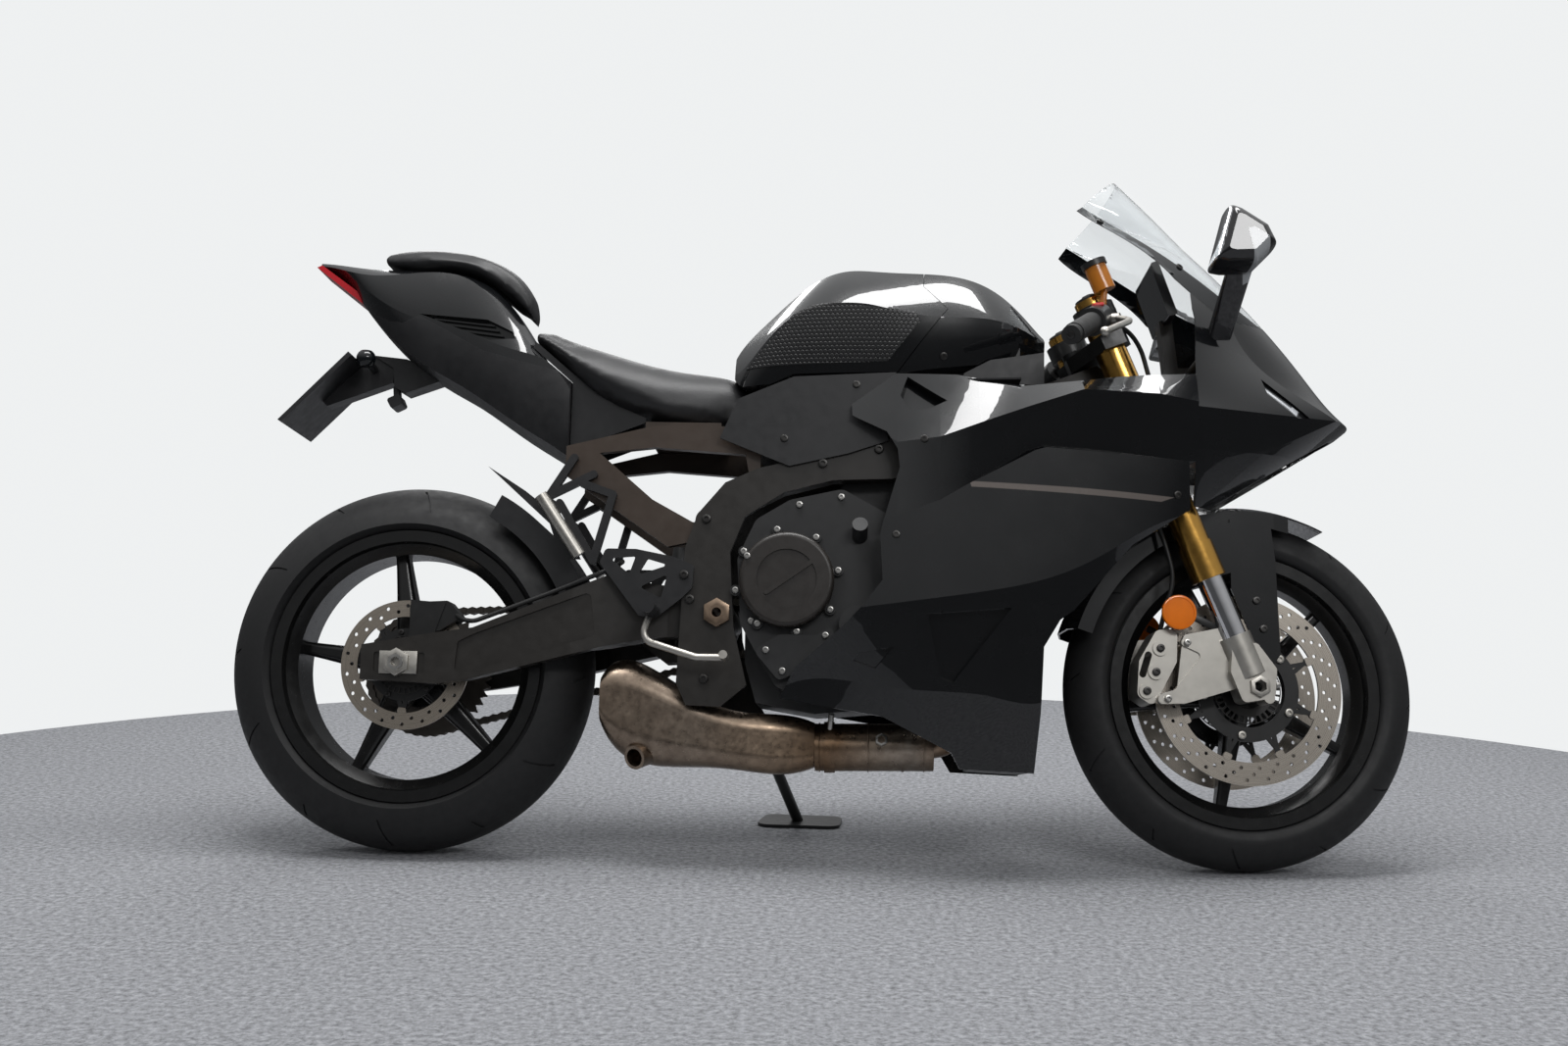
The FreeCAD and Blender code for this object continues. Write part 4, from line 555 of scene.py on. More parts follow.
def turned_metal(name, colour, centre, host):
    """Ground steel with fine rings about an axle."""
    material, tree, main = shader(name)
    line = tree.nodes.new("ShaderNodeTexNoise")
    line.noise_dimensions = "1D"
    line.inputs["Scale"].default_value = 1500
    line.inputs["Detail"].default_value = 3
    tree.links.new(radius_about(tree, centre, host), line.inputs["W"])
    rings = line.outputs["Fac"]
    feed(tree, main, tint(tree, rings, scaled(colour, 0.72), scaled(colour, 1.12)),
         spread(tree, rings, 0.22, 0.42), rings, 0.5, 0.00003, 1.0)
    return material


def heated_steel(name):
    """Exhaust steel: straw and brown bands along the pipe, grey on the silencer."""
    material, tree, main = shader(name)
    along = axes(tree, bike_place(tree))["X"]
    shifted = sums(tree, "ADD", along, spread(tree, noise(tree, 9, 3), -0.02, 0.02))
    ramp = tree.nodes.new("ShaderNodeValToRGB")
    stops = ((0.0, (0.30, 0.235, 0.18)), (0.22, (0.36, 0.29, 0.23)), (0.46, (0.34, 0.25, 0.175)),
             (0.60, (0.27, 0.17, 0.10)), (0.68, (0.38, 0.30, 0.23)), (0.80, (0.42, 0.36, 0.30)),
             (0.92, (0.25, 0.15, 0.085)), (1.0, (0.20, 0.12, 0.08)))
    while len(ramp.color_ramp.elements) < len(stops):
        ramp.color_ramp.elements.new(0.5)
    for item, (where, colour) in zip(ramp.color_ramp.elements, stops):
        item.position = where
        item.color = (*colour, 1)
    tree.links.new(spread(tree, shifted, 0.0, 1.0, 0.34, 1.0), ramp.inputs[0])
    soot = spread(tree, noise(tree, 60, 5), 0.0, 0.55)
    feed(tree, main, tint(tree, soot, ramp.outputs["Color"], (0.11, 0.08, 0.06)),
         spread(tree, noise(tree, 110, 5), 0.24, 0.42), noise(tree, 500, 3), 0.5, 0.00002, 1.0)
    return material


def clear(name, colour, roughness, weight=1.0):
    material, tree, main = shader(name)
    main.inputs["Base Color"].default_value = (*colour, 1)
    main.inputs["Transmission Weight"].default_value = weight
    main.inputs["IOR"].default_value = 1.45
    tree.links.new(spread(tree, noise(tree, 40, 2), roughness, roughness + 0.02), main.inputs["Roughness"])
    return material


def pad_rubber():
    """Knee pad rubber with a field of small hexagonal cells."""
    material, tree, main = shader("knee pad rubber")
    pitch, row_share = 0.0078, 1.732
    place = bike_place(tree)
    distances = []
    for offset in (0.0, 0.5):
        grid = mapped(tree, place, Scale=(1 / pitch, 0.0, 1 / (pitch * row_share)),
                      Location=(offset, 0.5, offset))
        centred = vectors(tree, "SUBTRACT", vectors(tree, "FRACTION", grid), (0.5, 0.5, 0.5))
        distances.append(vectors(tree, "LENGTH", vectors(tree, "MULTIPLY", centred, (1.0, 0.0, row_share))))
    cell = spread(tree, sums(tree, "MINIMUM", *distances), 1.0, 0.0, 0.34, 0.46)
    feed(tree, main, tint(tree, cell, (0.004, 0.004, 0.004), (0.011, 0.011, 0.012)),
         spread(tree, cell, 0.62, 0.42, 0.0, 1.0), cell, 1.0, 0.0008)
    return material


def seat_vinyl():
    """Grained vinyl with a soft sheen."""
    material, tree, main = shader("seat vinyl")
    cells = tree.nodes.new("ShaderNodeTexVoronoi")
    cells.inputs["Scale"].default_value = 520
    tree.links.new(object_place(tree), cells.inputs["Vector"])
    grain = cells.outputs["Distance"]
    feed(tree, main, tint(tree, noise(tree, 25, 4), (0.007, 0.007, 0.008), (0.012, 0.012, 0.013)),
         spread(tree, grain, 0.58, 0.46, 0.0, 0.6), grain, 0.5, 0.0002)
    return material


def finishes():
    """All the bike's materials: the record's slots first, then the finishes of single pieces."""
    settings = bpy.context.scene.bike_finish
    lacquer = tuple(settings.paint)
    satin = tuple(settings.satin)
    frame_tint = tuple(settings.frame_tint)
    gold = tuple(settings.fork_gold)
    stripe = [(947, 627), (1120, 617), (1288, 609), (1262, 599), (951, 616)]
    window = [(1376, 1014), (1386, 1016), (1409, 1002), (1415, 978), (1406, 962), (1390, 954)]
    bars = [([(1439, 803), (1443, 812), (1506, 767), (1500, 757)], (0.16, 0.165, 0.17)),
            ([(1444, 804), (1446, 807), (1499, 768), (1497, 764)], (0.75, 0.77, 0.80)),
            ([(1488, 770), (1494, 776), (1504, 768), (1500, 760)], (0.80, 0.82, 0.86))]
    return {
        "gloss_black": gloss_paint("gloss black paint", lacquer),
        "satin_black": plastic("satin panel", satin, 0.36, 0.48),
        "frame_black": plastic("frame coating", frame_tint, 0.34, 0.46, 900, 0.00003),
        "engine_black": plastic("engine paint", (0.010, 0.010, 0.0105), 0.40, 0.55, 700, 0.00006),
        "steel_bright": metal("bright steel", (0.50, 0.49, 0.47), 0.25, 0.35),
        "radiator_black": plastic("radiator paint", (0.008, 0.008, 0.008), 0.5, 0.6),
        "exhaust_steel": heated_steel("heated steel"),
        "seat_vinyl": seat_vinyl(),
        "lamp_red": plastic("red lens", (0.38, 0.006, 0.012), 0.06, 0.1, 300, 0.00001),
        "lamp_clear": clear("clear lens", (0.9, 0.92, 0.95), 0.02, 0.9),
        "screen_clear": clear("clear screen", (0.93, 0.95, 0.96), 0.0, 0.93),
        "shock_steel": metal("spring steel", (0.2, 0.2, 0.2), 0.3, 0.4),
        "chain_steel": metal("chain steel", (0.16, 0.145, 0.13), 0.35, 0.5),
        "caliper_black": plastic("caliper paint", (0.009, 0.009, 0.009), 0.3, 0.4),
        "rearset_alloy": plastic("rearset coating", (0.011, 0.011, 0.012), 0.35, 0.45),
        "clamp_black": plastic("clamp coating", (0.009, 0.009, 0.009), 0.3, 0.4),
        "fork_gold": metal("gold anodising", gold, 0.18, 0.26, 300, 0.000004),
        "fork_chrome": metal("chrome", (0.72, 0.72, 0.74), 0.04, 0.08, 300, 0.000002),
        "casting_silver": metal("silver casting", (0.50, 0.48, 0.44), 0.36, 0.46, 1500, 0.00003),
        "reservoir_amber": plastic("amber reservoir", (0.36, 0.12, 0.01), 0.12, 0.2),
        "rim_black": plastic("rim paint", (0.006, 0.006, 0.006), 0.2, 0.28, 900, 0.00001),
        "disc_steel": turned_metal("front disc steel", (0.52, 0.47, 0.41), FRONT_AXLE, "front_discs"),
        "tyre_rubber": plastic("tyre rubber", (0.006, 0.006, 0.0065), 0.6, 0.75, 900, 0.00006),
        "hose_black": plastic("hose cover", (0.009, 0.009, 0.009), 0.42, 0.55, 1800, 0.00006),
        "stand_black": plastic("stand paint", (0.009, 0.009, 0.009), 0.35, 0.45),
        "striped_paint": gloss_paint("gloss paint with a line", lacquer, [(stripe, tuple(settings.stripe))]),
        "mirror_shell": gloss_paint("mirror shell with a lamp window", satin, [(window, (0.30, 0.31, 0.32))]),
        "lamp_bars": gloss_paint("lamp lens with a light bar", (0.012, 0.012, 0.013), bars),
        "frame_bronze": plastic("bronze coating", (0.040, 0.027, 0.019), 0.32, 0.44, 900, 0.00003),
        "rear_disc_steel": turned_metal("rear disc steel", (0.50, 0.44, 0.37), REAR_AXLE, "rear_disc"),
        "carrier_black": plastic("disc carrier coating", (0.008, 0.008, 0.008), 0.35, 0.45),
        "clutch_brown": plastic("clutch cover paint", (0.017, 0.014, 0.012), 0.34, 0.44, 700, 0.00004),
        "bronze": metal("bronze anodising", (0.30, 0.22, 0.16), 0.3, 0.4),
        "orange_lens": plastic("orange lens", (0.75, 0.17, 0.005), 0.05, 0.09, 200, 0.00001),
        "red_switch": plastic("red switch", (0.45, 0.01, 0.01), 0.3, 0.4),
        "rubber_black": plastic("moulded rubber", (0.008, 0.008, 0.008), 0.6, 0.75, 1500, 0.00008),
        "knee_pad": pad_rubber(),
        "mirror_glass": metal("mirror glass", (0.75, 0.76, 0.78), 0.0, 0.01, 50, 0.0000001),
        "display_glass": plastic("display glass", (0.004, 0.005, 0.006), 0.03, 0.05, 50, 0.0000001),
        "bolt_black": metal("blackened bolt", (0.07, 0.068, 0.066), 0.3, 0.42),
    }


MATERIALS = {}


# Stage

def ground_origin():
    """The point on the floor under the upright bike's rear axle."""
    place = BIKE.translation
    return Vector((place.x, place.y, 0))


class BIKE_OT_stage(bpy.types.Operator):
    """Builds the floor, the surroundings, the lights and the camera"""
    bl_idname = "bike.stage"
    bl_label = "Stage"

    def execute(self, context):
        scene = context.scene
        settings = scene.bike_stage
        scene.view_settings.view_transform = "Standard"
        self.camera(scene, settings)
        self.floor(settings)
        self.world(scene)
        self.lamps(settings)
        return {"FINISHED"}

    def camera(self, scene, settings):
        data = bpy.data.cameras.new("camera")
        data.lens = settings.focal_length
        data.sensor_width = 36.0
        data.clip_end = 60.0
        yaw, pitch, roll = settings.camera_yaw, settings.camera_pitch, settings.camera_roll
        ahead = Vector((math.sin(yaw) * math.cos(pitch), math.cos(yaw) * math.cos(pitch), -math.sin(pitch)))
        right = ahead.cross(Vector((0, 0, 1))).normalized()
        up = right.cross(ahead)
        turned_right = right * math.cos(roll) + up * math.sin(roll)
        turned_up = up * math.cos(roll) - right * math.sin(roll)
        camera = bpy.data.objects.new("camera", data)
        basis = Matrix((turned_right, turned_up, -ahead)).transposed().to_4x4()
        camera.matrix_world = Matrix.Translation(ground_origin() + Vector(settings.camera_place)) @ basis
        scene.collection.objects.link(camera)
        scene.camera = camera

    def floor(self, settings):
        deselect()
        bpy.ops.mesh.primitive_circle_add(vertices=128, radius=settings.floor_radius, fill_type="NGON",
                                          location=(0, -0.35, 0))
        floor = bpy.context.object
        floor.name = "floor"
        material, tree, main = shader("grey carpet")
        colour = tuple(settings.floor_colour)
        speckle = noise(tree, 95, 8, 0.75)
        tree.links.new(tint(tree, spread(tree, speckle, 0.0, 1.0, 0.36, 0.64), scaled(colour, 0.55),
                            scaled(colour, 1.45)), main.inputs["Base Color"])
        bump(tree, speckle, main, 0.6, 0.002)
        main.inputs["Roughness"].default_value = 0.95
        main.inputs["Specular IOR Level"].default_value = 0.1
        floor.data.materials.append(material)

    def world(self, scene):
        world = bpy.data.worlds.new("studio")
        scene.world = world
        world.use_nodes = True
        tree = world.node_tree
        back = tree.nodes["Background"]
        path = tree.nodes.new("ShaderNodeLightPath")
        seen = sums(tree, "MAXIMUM", path.outputs["Is Camera Ray"], path.outputs["Is Transmission Ray"])
        upward = axes(tree, tree.nodes.new("ShaderNodeTexCoord").outputs["Generated"])["Z"]
        height = spread(tree, upward, 0.0, 1.0, 0.16, 0.92)
        mirrored = tint(tree, height, (0.075, 0.077, 0.08), (0.95, 0.96, 0.97))
        mix = tint(tree, path.outputs["Is Glossy Ray"], (0.46, 0.47, 0.48), mirrored)
        tree.links.new(tint(tree, seen, mix, (0.86, 0.875, 0.88)), back.inputs["Color"])
        back.inputs["Strength"].default_value = 1.0

    def lamps(self, settings):
        for name, place, aim, size, power in (
                ("overhead", (0.1, -0.2, 3.3), (0, 0, 0.5), (3.0, 0.7), settings.key_power),
                ("front side", (1.6, -3.4, 2.9), (0.1, 0, 0.5), (1.8, 0.5), settings.key_power * 0.4),
                ("far side", (-1.0, 3.2, 2.8), (0, 0, 0.5), (2.0, 0.8), settings.key_power * 0.4)):
            data = bpy.data.lights.new(name, "AREA")
            data.shape = "RECTANGLE"
            data.size, data.size_y = size
            data.energy = power
            lamp = bpy.data.objects.new(name, data)
            lamp.location = place
            lamp.rotation_euler = (Vector(aim) - Vector(place)).to_track_quat("-Z", "Y").to_euler()
            bpy.context.scene.collection.objects.link(lamp)


class BIKE_OT_finishes(bpy.types.Operator):
    """Gives every frame node its procedural material"""
    bl_idname = "bike.finishes"
    bl_label = "Finishes"

    def execute(self, context):
        MATERIALS.update(finishes())
        for node, slot in SLOT.items():
            data = frame["nodes"][node].data
            material = MATERIALS[NODE_FINISH.get(node, slot)]
            if not data.materials:
                data.materials.append(material)
            for index in range(len(data.materials)):
                data.materials[index] = material
        return {"FINISHED"}


# Bodywork

NODE_FINISH = {
    "side_fairing_right": "striped_paint", "side_fairing_left": "striped_paint",
    "rear_disc": "rear_disc_steel", "pivot_shaft": "bronze", "subframe": "frame_bronze",
    "headlamps": "lamp_bars", "mirrors": "mirror_shell",
}
WITHOUT_SKIN = ("rider_seat", "pillion_seat", "front_tyre", "rear_tyre", "front_hoses", "rear_hose")
SCREEN_BAND = ((1147, 1121), (1375, 976))
TAIL_EDGE = ((-230, 1000), (-58, 914), (-32, 909), (-3, 922), (112, 860), (178, 841), (300, 812))
CUP_BASE = Vector((1163, -150, 962))
CUP_HEIGHT = 43.5
GRIP_START = 0.48


def reach_from(place, centre):
    return math.hypot(place.x - centre[0], place.z - centre[1])


def height_on(start, end, place):
    """Height at a place of the line through two points of the side view."""
    return start[1] + (end[1] - start[1]) * (place.x - start[0]) / (end[0] - start[0])


def below_tail_edge(place, normal):
    return any(start[0] <= place.x <= end[0] and place.z < height_on(start, end, place) + 0.3
               for start, end in zip(TAIL_EDGE, TAIL_EDGE[1:]))


def bar_ends(side):
    """A handlebar's place at the clamp and at its outer end."""
    return Vector((1184, side * 100, 943)), Vector((1063, side * 335, 824))


def along_bar(place):
    """Share of the way from a handlebar's clamp to its end."""
    inner, outer = bar_ends(math.copysign(1, place.y))
    run = outer - inner
    return (place - inner).dot(run) / run.length_squared


# The single parts of a node that have another finish than the rest of it
PART_FINISHES = (
    ("tail_fairing", "satin_black", below_tail_edge),
    ("upper_fairings", "satin_black", lambda place, normal:
     place.x > 940 and (abs(place.y) < 125 or place.z < 811.5 and abs(normal.z) > 0.99)),
    ("front_discs", "carrier_black", lambda place, normal: reach_from(place, FRONT_AXLE) < 112),
    ("rear_disc", "carrier_black", lambda place, normal: reach_from(place, REAR_AXLE) < 74),
    ("engine_cover_right", "clutch_brown", lambda place, normal:
     place.y < -141 and reach_from(place, CLUTCH) < 80),
    ("mirrors", "mirror_glass", lambda place, normal: normal.x < -0.85 and abs(place.y) > 240),
    ("rearsets", "casting_silver", lambda place, normal: abs(place.y) > 163 and place.z < 388),
    ("peg_hangers", "casting_silver", lambda place, normal: abs(place.y) > 139),
    ("handlebars", "rubber_black", lambda place, normal: along_bar(place) > GRIP_START),
    ("brake_reservoir", "clamp_black", lambda place, normal:
     (place - CUP_BASE).dot(STEER_AXIS) > CUP_HEIGHT),
    ("windscreen", "display_glass", lambda place, normal: place.z < height_on(*SCREEN_BAND, place)),
    ("plate_holder", "display_glass", lambda place, normal:
     abs(place.y) > 64 and place.z > 828 and place.x > -122),
    ("dash", "display_glass", lambda place, normal: normal.x < -0.5),
)


class BIKE_OT_bodywork(bpy.types.Operator):
    """Smooth painted copies of the frame's pieces, with the finishes of their single parts"""
    bl_idname = "bike.bodywork"
    bl_label = "Bodywork"

    def execute(self, context):
        for node, slot in SLOT.items():
            if node not in WITHOUT_SKIN:
                piece = smooth_copy(node, SCREEN_BAND if node == "windscreen" else None)
                dress(piece, NODE_FINISH.get(node, slot))
        for node, material, test in PART_FINISHES:
            paint(node, material, test)
        return {"FINISHED"}


# Seats

class BIKE_OT_seats(bpy.types.Operator):
    """Foam seats under a tight vinyl cover"""
    bl_idname = "bike.seats"
    bl_label = "Seats"

    def execute(self, context):
        for node in ("rider_seat", "pillion_seat"):
            cushion = smooth_copy(node)
            self.swell(cushion, context.scene.bike_detail.seat_swell)
            fitted(node + "_cover", [cushion], node, "seat_vinyl", 60)
            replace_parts(cushion, node)
        return {"FINISHED"}

    def swell(self, cushion, most):
        """Shrinks the form a little, closes it, and lets cloth pressure round it out."""
        edit_all(cushion)
        bpy.ops.transform.shrink_fatten(value=-most * 0.5)
        applied(cushion, "REMESH", mode="VOXEL", voxel_size=0.006)
        self.press(cushion, most)
        applied(cushion, "SMOOTH", factor=0.5, iterations=4)
        applied(cushion, "SUBSURF", levels=1, render_levels=1)

    def press(self, cushion, most):
        """Runs the cloth for 20 frames and keeps each point near its start."""
        start = [vertex.co.copy() for vertex in cushion.data.vertices]
        cloth = cushion.modifiers.new("cloth", "CLOTH")
        cloth.settings.use_pressure = True
        cloth.settings.uniform_pressure_force = 4.0
        cloth.settings.effector_weights.gravity = 0
        scene = bpy.context.scene
        for number in range(1, 21):
            scene.frame_set(number)
        bpy.ops.object.modifier_apply(modifier=cloth.name)
        scene.frame_set(1)
        for vertex, before in zip(cushion.data.vertices, start):
            move = vertex.co - before
            if move.length > most:
                vertex.co = before + move.normalized() * most


class BIKE_OT_seat_panels(bpy.types.Operator):
    """Satin panels under the rider's seat, between the tail and the subframe"""
    bl_idname = "bike.seat_panels"
    bl_label = "Seat panels"

    outline = [(200, 868), (200, 882), (280, 815), (380, 755), (398, 748), (398, 740), (300, 701), (269, 698),
               (269, 808)]
    reach = 87
    thickness = 0.003

    def execute(self, context):
        panels = [self.panel(side) for side in BOTH]
        fitted("seat_panels", panels, "tail_fairing", "satin_black", 30)
        return {"FINISHED"}

    def panel(self, side):
        panel = strung([Vector((x, side * self.reach, z)) * 0.001 for x, z in self.outline])
        bpy.ops.mesh.edge_face_add()
        applied(panel, "SOLIDIFY", thickness=self.thickness, offset=0)
        settle(panel, BIKE)
        facing_out(panel)
        return panel


# Tyres

def arc_through(first, middle, last, count):
    """Points along the circle through three points of a section."""
    (ax, ay), (bx, by), (cx, cy) = first, middle, last
    a, b, c = (x * x + y * y for x, y in (first, middle, last))
    twice_area = 2 * (ax * (by - cy) + bx * (cy - ay) + cx * (ay - by))
    centre_x = (a * (by - cy) + b * (cy - ay) + c * (ay - by)) / twice_area
    centre_y = (a * (cx - bx) + b * (ax - cx) + c * (bx - ax)) / twice_area
    start = math.atan2(ay - centre_y, ax - centre_x)
    sweep = (math.atan2(cy - centre_y, cx - centre_x) - start + math.pi) % (2 * math.pi) - math.pi
    radius = math.hypot(ax - centre_x, ay - centre_y)
    angles = [start + sweep * step / count for step in range(count + 1)]
    return [(centre_x + radius * math.cos(angle), centre_y + radius * math.sin(angle)) for angle in angles]


class BIKE_OT_tyres(bpy.types.Operator):
    """Tyres spun from their section, with short slanted cuts towards the shoulders"""
    bl_idname = "bike.tyres"
    bl_label = "Tyres"

    bead_radius, flange_radius, bulge_radius = 219.5, 232.5, 237.5
    rim_gap = 0.3
    band_rows, band_height = (3, 4), 0.7
    cut_period = 18

    def execute(self, context):
        settings = context.scene.bike_detail
        for name, centre, outer, crown, half, rim_half in (
                ("front_tyre", FRONT_AXLE, 300, 61, 60, 44.5),
                ("rear_tyre", REAR_AXLE, 315, 92, 90, 70)):
            rise = math.sqrt(crown ** 2 - half ** 2)
            shoulder = outer - crown + rise
            turn = math.atan2(half, rise) / 2
            upper = (crown * math.sin(turn), outer - crown + crown * math.cos(turn))
            tread = arc_through((half, shoulder), upper, (0, outer), 12)
            tyre = self.spun(self.sidewall(half, shoulder, rim_half) + tread[1:], half, settings.tyre_steps)
            self.cut(tyre, settings, half, shoulder)
            settle(tyre, matrix_of(name) @ Matrix.Translation(Vector((centre[0], 0, centre[1])) * 0.001))
            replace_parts(fitted(name + "_tread", [tyre], name, "tyre_rubber", 30), name)
        return {"FINISHED"}

    def sidewall(self, half, shoulder, rim_half):
        """From the bead to the shoulder with its raised band, as (y, radius)."""
        edge = rim_half - self.rim_gap
        bulge = (rim_half + 0.62 * (half - rim_half), self.bulge_radius)
        wall = arc_through((edge, self.flange_radius), bulge, (half, shoulder), 8)
        for number in self.band_rows:
            y, radius = wall[number]
            wall[number] = (y + self.band_height, radius)
        return [(rim_half - 8, self.bead_radius), (edge, self.bead_radius)] + wall

    def twist(self, y, half):
        """How far the tread's cuts run back round the tyre at a distance from its middle."""
        share = min(1.0, abs(y) / half)
        return math.radians(7.0) * share * share

    def spun(self, side, half, steps):
        """The section of one side and its mirror image, spun round the axle."""
        places = []
        for y, radius in side[:-1] + [(-y, radius) for y, radius in reversed(side)]:
            turn = self.twist(y, half)
            places.append(Vector((radius * math.sin(turn), y, radius * math.cos(turn))) * 0.001)
        tyre = strung(places)
        bpy.ops.mesh.spin(steps=steps, angle=2 * math.pi, center=(0, 0, 0), axis=(0, 1, 0))
        bpy.ops.mesh.select_all(action="SELECT")
        bpy.ops.mesh.remove_doubles(threshold=0.00005)
        facing_out(tyre)
        return tyre

    def cut(self, tyre, settings, half, shoulder):
        step = 2 * math.pi / settings.tyre_steps
        period = self.cut_period

        def chosen(face):
            middle = face.calc_center_median() * 1000
            share = abs(middle.y) / half
            if not 0.40 < share < 0.93 or math.hypot(middle.x, middle.z) < shoulder:
                return False
            angle = math.atan2(middle.x, middle.z) - self.twist(middle.y, half)
            place = math.floor(angle / step) + (period // 2 if middle.y > 0 else 0)
            short = (place // period) % 2 and share > 0.72
            return place % period == 0 and not short

        pick(tyre, "FACE", chosen)
        bpy.ops.mesh.inset(thickness=0.0021)
        sink(settings.sipe_depth)


# Knee pads

class BIKE_OT_knee_pads(bpy.types.Operator):
    """Thin rubber pads laid on both sides of the tank"""
    bl_idname = "bike.knee_pads"
    bl_label = "Knee pads"

    outline = [(566, 835), (592, 862), (639, 919), (679, 937), (712, 941), (858, 926), (868, 912), (812, 842)]
    blank_middle = (0.712, 0.24, 0.874)
    blank_size = (0.34, 0.16)

    def execute(self, context):
        pads = [self.pad(context.scene.bike_detail.pad_thickness, side) for side in BOTH]
        fitted("knee_pads", pads, "fuel_tank", "knee_pad", 40)
        return {"FINISHED"}

    def pad(self, thickness, side):
        """A fine grid cut to the outline, laid on the tank and thickened."""
        deselect()
        bpy.ops.mesh.primitive_grid_add(x_subdivisions=110, y_subdivisions=60, size=1)
        pad = bpy.context.object
        x, y, z = self.blank_middle
        upright = Matrix.Rotation(math.radians(90), 4, "X") @ Matrix.Diagonal((*self.blank_size, 1, 1))
        settle(pad, Matrix.Translation((x, side * y, z)) @ upright)
        edit_all(pad)
        for (x, z), (x_next, z_next) in zip(self.outline, self.outline[1:] + self.outline[:1]):
            outward = Vector((z - z_next, 0, x_next - x)).normalized()
            bpy.ops.mesh.select_all(action="SELECT")
            bpy.ops.mesh.bisect(plane_co=(x * 0.001, 0, z * 0.001), plane_no=outward, clear_outer=True)
        activate(pad)
        pad.matrix_world = BIKE
        applied(pad, "SHRINKWRAP", target=bpy.data.objects["fuel_tank_skin"], wrap_method="PROJECT",
                use_project_x=False, use_project_z=False, use_project_y=True,
                use_positive_direction=side < 0, use_negative_direction=side > 0, offset=0.0002)
        settle(pad)
        if pad.data.polygons[0].normal.dot(bike_direction((0, side, 0))) < 0:
            edit_all(pad)
            bpy.ops.mesh.flip_normals()
        applied(pad, "SOLIDIFY", thickness=thickness, offset=1)
        return pad


# Bolts and nuts

def ring_of(centre, radius, count, first):
    """Places (x, z) round an axle line."""
    angles = [math.radians(first + 360 / count * number) for number in range(count)]
    return [(centre[0] + radius * math.cos(angle), centre[1] + radius * math.sin(angle)) for angle in angles]


def seats_on(node, points, sides=(-1,), tilted=False):
    """Where lines across the bike meet the outside of a piece, a little sunk, each with the way out."""
    clear_of_bike, sunk = 420, 0.2
    skin = bpy.data.objects[node + "_skin"]
    inverse = matrix_of(node).inverted()
    seats = []
    for side in sides:
        for x, z in points:
            start = bike_point((x, side * clear_of_bike, z), node)
            hit, place, normal, _ = skin.ray_cast(start, bike_direction((0, -side, 0), node))
            place = inverse @ place * 1000
            normal = inverse.to_3x3() @ normal
            if not hit or place.y * side < 0:
                raise RuntimeError(f"no surface of {node} at {x:.0f}, {z:.0f} on side {side}")
            way = tuple(normal) if tilted else (0, side, 0)
            seats.append((tuple(place - Vector(way) * sunk), way))
    return seats


def at_depth(points, y, sides=(-1,)):
    return [((x, side * y, z), (0, side, 0)) for side in sides for x, z in points]


